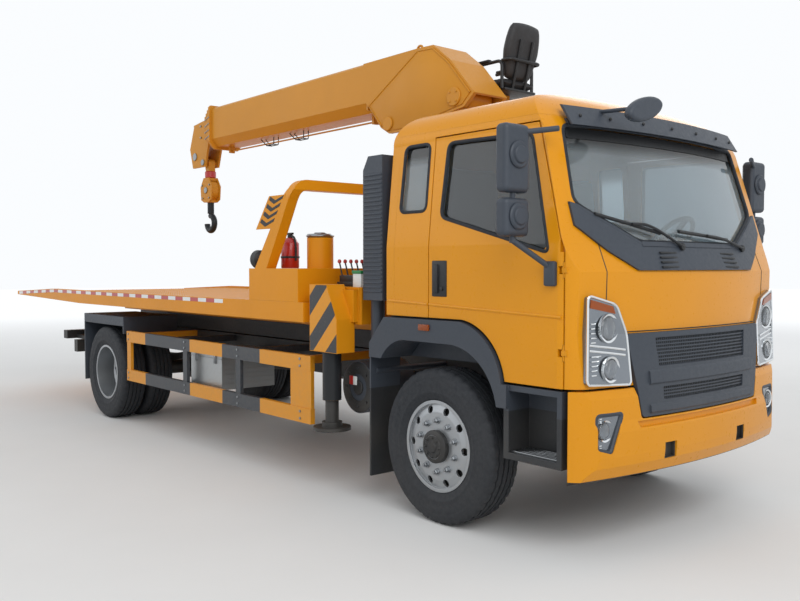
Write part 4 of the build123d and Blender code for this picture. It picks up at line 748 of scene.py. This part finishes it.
for name, side in SIDES:
    surround = Shape()
    loop = smooth_loop([(side * y, z) for y, z in HEADLAMP], LAMP_CORNER)
    surround.tube(on_nose(loop, 0.025), 0.008, 8)
    bar = on_nose([(side * y, z) for y, z in HEADLAMP_BAR], 0.028)
    for drop in (0.0, 0.03):
        surround.tube([(x, y, z - drop) for x, y, z in bar], 0.008, 8)
    surround.piece(f"headlamp_frame_{name}", "chassis", chrome, "lamp")
    bright = Shape()
    clear = Shape()
    for y, z, radius in ROUND_LAMPS:
        spot = (nose_x(side * y, z, 0.024), side * y, z)
        round_lamp(bright, clear, spot, radius, lip=0.014, rise=0.024, steps=32)
    for y, z, wide in RIBS:
        x = nose_x(side * y, z, 0.026)
        low, high = either(side, y - wide, y + wide)
        for k in range(-2, 3):
            rib = z + k * 0.026
            bright.box((x - 0.01, low, rib - 0.004), (x + 0.004, high, rib + 0.004), 0.002)
    bright.piece(f"headlamp_rings_{name}", "chassis", chrome, "lamp")
    clear.piece(f"headlamp_lenses_{name}", "chassis", lens, "lamp")
    turn = Shape()
    strip = [(side * y, z) for y, z in TURN_LAMP]
    turn.skin([on_nose(strip, proud) for proud in (0.02, 0.033)])
    turn.piece(f"turn_lamp_{name}", "chassis", amber, "lamp")
    fog = Shape()
    loop = smooth_loop([(side * y, z) for y, z in FOG], LAMP_CORNER)
    fog.tube(on_nose(loop, 0.012), 0.017, 8)
    fog.piece(f"fog_frame_{name}", "chassis", plastic, "dark_plastic")
    bright = Shape()
    clear = Shape()
    y, z = side * 0.932, 0.752
    x = nose_x(y, z, 0.005)
    round_lamp(bright, clear, (x, y, z), 0.052, lip=0.012, rise=0.02, steps=28)
    for near, rib in ((0.862, 0.822), (0.868, 0.81), (0.874, 0.672), (0.88, 0.658)):
        low, high = either(side, near, 0.974)
        bright.box((x - 0.012, low, rib - 0.003), (x + 0.004, high, rib + 0.003), 0.001)
    bright.piece(f"fog_ring_{name}", "chassis", chrome, "lamp")
    clear.piece(f"fog_lens_{name}", "chassis", lens, "lamp")

# Tape along the bed's edges
BED_Y = 1.25
TAPE_X = (-8.1, -2.53)
TAPE_PITCH = 0.15
TAPE_TOP = 1.392
TAPE_W = 0.034
TAIL_X = -6.8  # behind this the bed's edge falls to the tail
TAIL_FALL = 0.055 / 1.37
for name, side in SIDES:
    reds, whites = Shape(), Shape()
    low, high = either(side, BED_Y - 0.001, BED_Y + 0.0015)
    for k in range(int((TAPE_X[1] - TAPE_X[0]) / TAPE_PITCH)):
        x0 = TAPE_X[0] + TAPE_PITCH * k
        x1 = x0 + TAPE_PITCH
        z0, z1 = [TAPE_TOP - max(0.0, TAIL_X - x) * TAIL_FALL for x in (x0, x1)]
        points = [(X(x0), z0 - TAPE_W), (X(x1), z1 - TAPE_W), (X(x1), z1), (X(x0), z0)]
        (reds if k % 2 else whites).plate(points, "Y", low, high)
    reds.piece(f"red_tape_{name}", "bed", red, "yellow_paint")
    whites.piece(f"white_tape_{name}", "bed", white, "yellow_paint")

# Tread on the deck: lozenges that point two ways
DECK_TOP = 1.374
TREAD_X, TREAD_LONG = -6.75, 4.6
TREAD_HALF = 1.16
ROWS, COLUMNS = 84, 44
LOZENGE = ((0.019, 0), (0, 0.006), (-0.019, 0), (0, -0.006))
deck = Shape()
for i in range(ROWS):
    for j in range(COLUMNS):
        x = X(TREAD_X + TREAD_LONG * i / (ROWS - 1))
        y = -TREAD_HALF + 2 * TREAD_HALF * j / (COLUMNS - 1)
        turn = math.radians(45 if (i + j) % 2 else -45)
        c, s = math.cos(turn), math.sin(turn)
        corners = [(x + a * c - b * s, y + a * s + b * c, DECK_TOP - 0.001) for a, b in LOZENGE]
        ring = [deck.bm.verts.new(corner) for corner in corners]
        peak = deck.bm.verts.new((x, y, DECK_TOP + 0.003))
        for a, b in zip(ring, ring[1:] + ring[:1]):
            deck.bm.faces.new((a, b, peak))
        deck.bm.faces.new(ring[::-1])
deck.piece("deck_tread", "bed", steel, "yellow_paint", 20)

# Headboard: chevrons, bollard caps, work lamps and an extinguisher
CHEVRON_PITCH = 0.225
CHEVRON_TOP = 0.985
BOLLARD = (-1.6, 0.9)
WORK_Y, WORK_Z = 1.14, 1.73
WORK_BOWL = ((0.03, -2.06), (0.075, -2.09), (0.078, -2.15), (0.07, -2.155), (0.066, -2.135))
for name, side in SIDES:
    marks = Shape()
    low, high = either(side, BED_Y, BED_Y + 0.0015)
    for k in range(4):
        v = 0.07 + CHEVRON_PITCH * k
        arrow = [(0.1, v + 0.14), (0.5, v), (0.9, v + 0.14)]
        arrow += [(0.9, v + 0.25), (0.5, v + 0.11), (0.1, v + 0.25)]
        if k == 3:
            arrow = [(a, min(b, CHEVRON_TOP)) for a, b in arrow]
        points = [(X(-2.0 + 0.25 * a + (0.2 - 0.01 * a) * b), 1.969 + 0.256 * b) for a, b in arrow]
        marks.plate(points, "Y", low, high)
    marks.piece(f"chevrons_{name}", "bed", black, "chassis_black")
    cap = Shape()
    middle = (X(BOLLARD[0]), side * BOLLARD[1], 0)
    cap.disc(0.112, 1.899, 1.93, middle, "Z", 32, 0.012)
    cap.disc(0.05, 1.928, 1.942, middle, "Z", 24, 0.005)
    cap.piece(f"bollard_cap_{name}", "bed", bare, "aluminium")
    work = Shape()
    middle = (0, side * WORK_Y, WORK_Z)
    work.lathe([(r, X(x)) for r, x in WORK_BOWL], middle, "X", 32, closed=False)
    work.block((-2.1, -2.07), side, (WORK_Y - 0.015, WORK_Y + 0.015), (1.652, WORK_Z), 0.004)
    work.piece(f"work_lamp_{name}", "bed", black, "chassis_black")
    pane = Shape()
    pane.disc(0.064, X(-2.142), X(-2.137), middle, "X", 28, 0.001)
    pane.piece(f"work_lens_{name}", "bed", lens, "lamp")
TANK_X, TANK_Y = X(-1.99), -0.93
TANK = (
    (0.0, 1.657), (0.07, 1.657), (0.075, 1.665), (0.075, 1.86), (0.055, 1.895), (0.025, 1.91), (0.0, 1.91),
)
tank = Shape()
tank.lathe(TANK, (TANK_X, TANK_Y, 0), "Z", 32, closed=False)
tank.piece("extinguisher", "bed", red, "yellow_paint")
valve = Shape()
valve.disc(0.022, 1.905, 1.94, (TANK_X, TANK_Y, 0), "Z", 16)
valve.box((X(-2.04), TANK_Y - 0.012, 1.935), (X(-1.95), TANK_Y + 0.012, 1.952), 0.003)
hose = [(X(x), TANK_Y, z) for x, z in ((-1.99, 1.925), (-1.93, 1.92), (-1.905, 1.86), (-1.905, 1.72))]
valve.bent(hose, 0.05, 0.009, 8)
valve.disc(0.079, 1.74, 1.757, (TANK_X, TANK_Y, 0), "Z", 32, 0.002)
valve.piece("extinguisher_valve", "bed", black, "chassis_black")

# Stripes on the jack plates
JACK_PLATE = ((-1.24, 1.05), (-0.91, 1.05), (-0.91, 1.288), (-1.033, 1.535), (-1.24, 1.535))
for name, side in SIDES:
    plate = Shape()
    plate.plate([(X(x), z) for x, z in JACK_PLATE], "Y", *either(side, BED_Y, BED_Y + 0.002))
    plate.piece(f"jack_stripes_{name}", f"outrigger_{name}", hazard, "yellow_paint")

# Panel gaps, visor bolts, dark bands round the windscreen, partly painted shade, and a line along the
# bumper's ledge
gaps = Shape()
for side in (-1, 1):
    gaps.tube(on_nose([(side * 0.885, z) for z in (1.80, 1.64, 1.55, 1.475)], -0.001), 0.0035, 6)
gaps.tube(on_nose([(-0.74 + 0.148 * k, 1.297) for k in range(11)], -0.001), 0.004, 6)
gaps.piece("nose_gaps", "chassis", black, "dark_plastic")
VISOR_X, VISOR_BOLT_Z = 0.987, 2.545
VISOR_BOLT = ((0.011, 0.0), (0.011, 0.004), (0.007, 0.009), (0.0005, 0.011))
bolts = Shape()
for y in (-0.84, -0.6, -0.3, 0.0, 0.3, 0.6, 0.84):
    bolts.lathe(VISOR_BOLT, (bowed(VISOR_X, y), y, VISOR_BOLT_Z), "X", 14, closed=False)
bolts.piece("visor_bolts", "chassis", black, "dark_plastic")
# A black band behind the glass's top: the cab's header, and painted shade of the dark roof inside
header_and_shade = Shape()
nose_strip(header_and_shade, [-0.91 + 0.13 * k for k in range(15)], 2.415, 2.478, -0.0185, -0.016)
header_and_shade.piece("windscreen_band", "chassis", black, "glass")
STRIP_STEPS = 8
SCREEN_FOOT = ((-0.985, 2.01), (-0.88, 1.952), (-0.54, 1.794), (0.54, 1.794), (0.88, 1.952), (0.985, 2.01))
strips = Shape()
# The strip under the visor is dark trim, and also painted shadow cast by the visor
nose_strip(strips, [-0.9 + 0.12 * k for k in range(16)], 2.486, 2.53, -0.012, 0.008)
nose_strip(strips, [-0.55 + 0.11 * k for k in range(11)], 1.788, 1.817, 0.0, 0.0195)
path = []
for (y0, z0), (y1, z1) in zip(SCREEN_FOOT, SCREEN_FOOT[1:]):
    shares = [k / STRIP_STEPS for k in range(STRIP_STEPS)]
    path += [(y0 + (y1 - y0) * t, z0 + (z1 - z0) * t) for t in shares]
path.append(SCREEN_FOOT[-1])
strips.tube(on_nose(path), 0.017, 8)
strips.piece("windscreen_strips", "chassis", plastic, "dark_plastic")
ledge = Shape()
ledge.tube(on_nose([(-0.66 + 0.132 * k, 0.79) for k in range(11)], 0.007), 0.004, 6)
ledge.piece("ledge_line", "chassis", black, "dark_plastic")

# Fine mesh behind the grille's slats
MESH_PITCH = 0.018
mesh_bars = Shape()
for half, low, high in ((0.45, 0.895, 0.966), (0.485, 1.094, 1.252)):
    count = int(2 * half / MESH_PITCH)
    for k in range(count + 1):
        y = -half + 2 * half * k / count
        nose_strip(mesh_bars, (y - 0.002, y + 0.002), low, high, 0.011, 0.0155)
mesh_bars.piece("grille_mesh", "chassis", black, "dark_plastic")

# Recesses for tow pins in the bumper, lined in black
LINING = 0.003
RECESS_Z = (0.546, 0.639)
lining = Shape()
for side in (-1, 1):
    lining.block((1.2245, 1.2285), side, (0.3505, 0.4595), RECESS_Z, 0.001)
    for z in (0.5455, 0.6365):
        lining.block((1.2245, 1.255), side, (0.3505, 0.4595), (z, z + LINING), 0.001)
    for y in (0.3505, 0.4565):
        lining.block((1.2245, 1.255), side, (y, y + LINING), RECESS_Z, 0.001)
lining.piece("tow_recesses", "chassis", black, "chassis_black")

# Steps: ribbed treads in the cab's foot wells
treads = Shape()
for side in (-1, 1):
    for k in range(6):
        treads.block((0.645, 0.995), side, (0.965 + 0.028 * k, 0.977 + 0.028 * k), (0.574, 0.586), 0.002)
treads.piece("step_treads", "chassis", bare, "aluminium")

# Intake stack's louvres and the air drum's end
louvre = Shape()
for k in range(28):
    z = 1.49 + 0.03 * k
    louvre.box((X(-0.746), -1.137, z), (X(-0.546), -1.127, z + 0.014), 0.003)
    louvre.box((X(-0.758), -1.122, z), (X(-0.748), -0.968, z + 0.014), 0.003)
louvre.piece("intake_louvres", "chassis", plastic, "dark_plastic")
AIR_X, AIR_Z = X(-0.924), 0.785
AIR_RIM = ((0.10, -1.046), (0.178, -1.046), (0.186, -1.04), (0.186, -1.034), (0.10, -1.034))
drum = Shape()
drum.lathe(AIR_RIM, (AIR_X, 0, AIR_Z), "Y", 40)
drum.disc(0.055, -1.05, -1.036, (AIR_X, 0, AIR_Z), "Y", 28, 0.004)
for spot in around(AIR_X, AIR_Z, 0.14, 8):
    drum.disc(0.011, -1.056, -1.044, spot, "Y", 6)
drum.piece("air_drum_end", "chassis", black, "chassis_black")
for name, finish, x0, x1 in (("red", red, -1.02, -0.975), ("white", white, -0.975, -0.93)):
    mark = Shape()
    mark.box((X(x0), -1.053, 0.80), (X(x1), -1.045, 0.865), 0.004)
    mark.piece(f"drum_mark_{name}", "chassis", finish, "yellow_paint")

# Crane base: valve bank with levers, pipes and a small control box
LEVERS = 6
LEVER_PITCH = 0.055
LEVER_KNOB = ((0.004, 1.695), (0.013, 1.70), (0.015, 1.712), (0.010, 1.724), (0.001, 1.727))
bank = Shape()
bank.box((X(-1.27), -0.98, 1.519), (X(-1.03), -0.62, 1.555), 0.005)
knobs = Shape()
for k in range(LEVERS):
    y = -0.95 + LEVER_PITCH * k
    bank.box((X(-1.25), y - 0.021, 1.55), (X(-1.06), y + 0.021, 1.605), 0.006)
    bank.tube([(X(-1.24), y, 1.60), (X(-1.26), y, 1.66), (X(-1.275), y, 1.70)], 0.006, 8)
    knobs.lathe(LEVER_KNOB, (X(-1.276), y, 0), "Z", 14, closed=False)
bank.piece("valve_bank", "chassis", black, "cast_black")
knobs.piece("lever_knobs", "chassis", red, "dark_plastic")
pipes = Shape()
for k in range(LEVERS - 1):
    y = -0.92 + LEVER_PITCH * k
    bend = X(-0.96 + 0.012 * k)
    route = [(X(-1.065), y, 1.578), (X(-1.0), y, 1.578), (bend, y, 1.545), (bend, -0.22, 1.545)]
    pipes.bent(route, 0.03, 0.008, 8)
pipes.piece("crane_pipes", "chassis", rope_steel, "chassis_black")
control = Shape()
control.box((X(-0.965), -1.06, 1.519), (X(-0.868), -0.98, 1.62), 0.004)
control.piece("control_box", "chassis", white, "aluminium")
cover = Shape()
cover.box((X(-0.972), -1.067, 1.618), (X(-0.861), -0.973, 1.642), 0.006)
cover.piece("control_cover", "chassis", green, "aluminium")

# Boom: doubler plates with weld seams, pin caps, collar bolts and rope guides of bent wire
DOUBLER = (
    (-1.23, 3.42), (-1.05, 3.41), (-0.87, 3.27), (-0.63, 3.0), (-0.72, 2.92), (-1.0, 2.875), (-1.4, 2.82),
    (-1.58, 2.82), (-1.69, 2.875), (-1.86, 3.07),
)
SEAM = DOUBLER[8:] + DOUBLER[:4]
PIVOT_X, PIVOT_Z = X(-0.8), 2.99
plates = Shape()
seams = Shape()
caps = Shape()
for side in (-1, 1):
    plates.plate([(X(x), z) for x, z in DOUBLER], "Y", *either(side, 0.184, 0.192), 0.002)
    seams.tube([(X(x), side * 0.191, z) for x, z in SEAM], 0.007, 6)
    caps.stud(0.075, side, 0.19, 0.207, (PIVOT_X, 0, PIVOT_Z), 32, 0.006)
    caps.stud(0.06, side, 0.19, 0.207, (X(-1.6), 0, 2.88), 32, 0.006)
    for spot in around(PIVOT_X, PIVOT_Z, 0.052, 4, 0.5):
        caps.stud(0.009, side, 0.205, 0.214, spot, 6)
plates.piece("boom_doublers", "boom", crane_paint, "yellow_paint")
seams.piece("boom_seams", "boom", crane_paint, "yellow_paint")
caps.piece("boom_pin_caps", "boom", crane_paint, "yellow_paint")
COLLARS = (  # body, place along and half the width
    ("boom", -4.73, 0.213), ("boom_stage_2", -4.805, 0.188),
    ("boom_stage_3", -4.88, 0.163), ("boom_tip", -4.955, 0.138),
)
for body, x, half in COLLARS:
    heads = Shape()
    for side in (-1, 1):
        for z in (3.13, 3.2, 3.27, 3.34):
            heads.stud(0.009, side, half - 0.002, half + 0.007, (X(x + 0.015), 0, z), 6)
    heads.piece(f"collar_bolts_{body}", body, bare, "rod_chrome")
head = Shape()
for side in (-1, 1):
    low, high = either(side, 0.093, 0.108)
    for x, z, radius in ((-5.27, 2.96, 0.045), (-5.08, 2.88, 0.036)):
        head.disc(radius, low, high, (X(x), 0, z), "Y", 28, 0.004)
    for x, z in ((-5.0, 3.3), (-5.0, 3.17), (-5.12, 3.3), (-5.12, 3.17)):
        head.disc(0.013, low, high - 0.005 * side, (X(x), 0, z), "Y", 6)
head.piece("boom_head_pins", "boom_tip", bare, "rod_chrome")
GUIDE_FOOT, GUIDE_TOP = 2.945, 3.02
GUIDE_WIRE = ((-0.16, GUIDE_TOP), (-0.05, GUIDE_FOOT), (0.09, GUIDE_FOOT), (0.09, GUIDE_TOP))
guides = Shape()
for x in (-3.75, -3.2):
    for y in (-0.028, 0.028):
        route = [(X(x + dx), y, z) for dx, z in GUIDE_WIRE]
        guides.bent(route, 0.02, 0.005, 8)
    for dx in (-0.05, 0.08):
        guides.tube([(X(x + dx), y, GUIDE_FOOT) for y in (-0.032, 0.032)], 0.005, 8)
guides.piece("rope_guides", "boom", black, "cast_black")

# Hook block: sheave pin, cheek bolts, red buffer and the hook's latch
HOOK_X = -5.08
HOOK_BUFFER = ((0.058, 2.705), (0.064, 2.712), (0.064, 2.775), (0.058, 2.782))
fittings = Shape()
for side in (-1, 1):
    low, high = either(side, 0.058, 0.072)
    fittings.disc(0.036, low, high, (X(HOOK_X), 0, 2.56), "Y", 24, 0.004)
    for x, z in ((-0.085, 2.62), (0.085, 2.62), (-0.075, 2.47), (0.075, 2.47)):
        fittings.disc(0.011, low, high - 0.004 * side, (X(HOOK_X + x), 0, z), "Y", 6)
latch = [(X(HOOK_X + x), 0, z) for x, z in ((0.03, 2.29), (0.075, 2.235), (0.09, 2.2))]
fittings.tube(latch, 0.007, 8)
fittings.piece("hook_fittings", "hook", bare, "rod_chrome")
buffer = Shape()
buffer.lathe(HOOK_BUFFER, (X(HOOK_X), 0, 0), "Z", 28, closed=False)
buffer.piece("hook_buffer", "hook", red, "yellow_paint")

# Side guards' bolts, battery box latches, tank straps and cap
guard_bolts = Shape()
for side in (-1, 1):
    for x in (-4.655, -3.38, -2.40, -1.45):
        for z in (0.505, 0.56, 0.91, 0.965):
            guard_bolts.stud(0.011, side, 1.198, 1.207, (X(x), 0, z), 6)
guard_bolts.piece("guard_bolts", "chassis", bare, "chassis_black")
latches = Shape()
for x in (-3.3, -2.95):
    latches.box((X(x - 0.02), -1.122, 0.79), (X(x + 0.02), -1.108, 0.87), 0.004)
    latches.box((X(x - 0.012), -1.128, 0.80), (X(x + 0.012), -1.118, 0.845), 0.003)
latches.box((X(-3.418), -1.115, 0.835), (X(-2.832), -1.109, 0.841), 0.001)
latches.piece("battery_latches", "chassis", bare, "aluminium")
FUEL_Y, FUEL_Z = 0.8, 0.73
STRAP_R = (0.289, 0.296)
STRAP_HALF = 0.03
FUEL_CAP = ((0.065, 1.015), (0.065, 1.05), (0.055, 1.058), (0.012, 1.06))
straps = Shape()
for x in (-3.5, -2.7):
    low, high = X(x - STRAP_HALF), X(x + STRAP_HALF)
    band = [(STRAP_R[0], low), (STRAP_R[1], low), (STRAP_R[1], high), (STRAP_R[0], high)]
    straps.lathe(band, (0, FUEL_Y, FUEL_Z), "X", 48)
straps.lathe(FUEL_CAP, (X(-3.1), FUEL_Y, 0), "Z", 28, closed=False)
straps.piece("tank_straps", "chassis", bare, "aluminium")

# Tail lamps and a blank plate on the wheel lift's beam
TAIL_LAMPS = (("stop", tail_red, 0.745), ("turn", amber, 0.705), ("back", lens, 0.668))
for name, side in SIDES:
    for label, finish, z in TAIL_LAMPS:
        lamp = Shape()
        for out in (0.0, 0.105):
            lamp.block((-6.508, -6.498), side, (0.87 + out, 0.96 + out), (z - 0.014, z + 0.014), 0.004)
        lamp.piece(f"tail_{label}_{name}", "tilt_frame", finish, "lamp")
plate = Shape()
plate.box((X(-6.804), -0.22, 0.79), (X(-6.799), 0.22, 0.88), 0.001)
plate.piece("blank_plate", "tilt_frame", white, "aluminium")


# Seats: crowned vinyl pads with sewn channels
PAD_POINTS = 25  # along each edge
PAD_DRAWN = 0.035  # how far the edges are drawn in between the corners
SEWN_DEPTH = 0.10


def pad(name, body, centre, size, lean, channels, narrow=(1.0, 1.0, 0.0)):
    """A crowned closed cushion: sides drawn in between its corners, channels sewn across its face.

    narrow gives the width's share at the foot and the head, and how far the corners are rounded."""
    foot, head, corner = narrow
    shape = Shape()
    last = PAD_POINTS - 1
    turn = Matrix.Rotation(math.radians(lean), 3, "Y")

    def point(i, j, way):
        u = -1 + 2 * i / last
        v = -1 + 2 * j / last
        crown = ((1 - abs(u) ** 6) * (1 - abs(v) ** 6)) ** 0.4
        sewn = 0.0
        if way > 0:
            sewn = SEWN_DEPTH * max(0.0, 1 - abs(math.sin(math.pi * channels * (u + 1) / 2)) * 5)
        wide = foot + (1 - foot) * (1 + u) if u < 0 else 1 - (1 - head) * u * u
        local = Vector((
            size[0] / 2 * u * (1 - PAD_DRAWN * (1 - v * v)) * math.sqrt(1 - corner * v * v),
            size[1] / 2 * v * (1 - PAD_DRAWN * (1 - u * u)) * wide * math.sqrt(1 - corner * u * u),
            size[2] / 2 * way * crown * (1 - sewn) * (1.0 if way > 0 else 0.8),
        ))
        return Vector(centre) + turn @ local

    sheets = {}
    for way in (1, -1):
        sheets[way] = [[None] * PAD_POINTS for _ in range(PAD_POINTS)]
        for i in range(PAD_POINTS):
            for j in range(PAD_POINTS):
                rim = i in (0, last) or j in (0, last)
                if way < 0 and rim:
                    sheets[way][i][j] = sheets[1][i][j]
                else:
                    sheets[way][i][j] = shape.bm.verts.new(point(i, j, way))
    faces = []
    for grid in sheets.values():
        for i in range(last):
            for j in range(last):
                quad = (grid[i][j], grid[i + 1][j], grid[i + 1][j + 1], grid[i][j + 1])
                faces.append(shape.bm.faces.new(quad))
    bmesh.ops.recalc_face_normals(shape.bm, faces=faces)
    thing = shape.piece(name, body, seat, "seat", 60)


SEAT = (-1.19, 0.455, 3.09)  # the operator's seat: its pan's rear edge, middle and underside


def at_seat(x, y, z):
    """A place measured from the operator's seat pan."""
    return (X(SEAT[0] + x), SEAT[1] + y, SEAT[2] + z)


pan = Shape()
pan.box(at_seat(0, -0.185, 0), at_seat(0.5, 0.185, 0.022), 0.006)
for y in (-0.18, 0.18):
    arm = [at_seat(0.46, y, 0.015), at_seat(0.46, y, 0.24), at_seat(0.06, y, 0.24)]
    pan.bent(arm, 0.05, 0.014, 12)
    pan.box(at_seat(0.07, y - 0.022, 0.245), at_seat(0.33, y + 0.022, 0.268), 0.009)
for y in (-0.07, 0.07):
    stay = [at_seat(0.47, y, 0.015), at_seat(0.5, y, 0.12), at_seat(0.57, y, 0.4)]
    pan.bent(stay, 0.06, 0.012, 10)
rail = [at_seat(x, y, 0.24) for x, y in ((0.46, -0.18), (0.55, -0.18), (0.55, 0.18), (0.46, 0.18))]
pan.bent(rail, 0.05, 0.013, 12)
pan = pan.piece("seat_frame", "crane_column", black, "seat")
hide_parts("operator_seat")
pad("seat_cushion", "crane_column", at_seat(0.25, 0, 0.066), (0.46, 0.35, 0.10), 0, 4)
BACK_SIZE, BACK_NARROW = (0.47, 0.39, 0.10), (0.8, 0.88, 0.2)
pad("seat_backrest", "crane_column", at_seat(0.5, 0, 0.318), BACK_SIZE, -76.5, 5, BACK_NARROW)
CAB_SEAT_Y = 0.56
for name, side in SIDES:
    y = side * CAB_SEAT_Y
    pad(f"cab_cushion_{name}", "chassis", (X(0.115), y, 1.645), (0.59, 0.57, 0.19), 0, 5)
    pad(f"cab_backrest_{name}", "chassis", (X(-0.255), y, 1.97), (0.80, 0.55, 0.19), -96, 6)
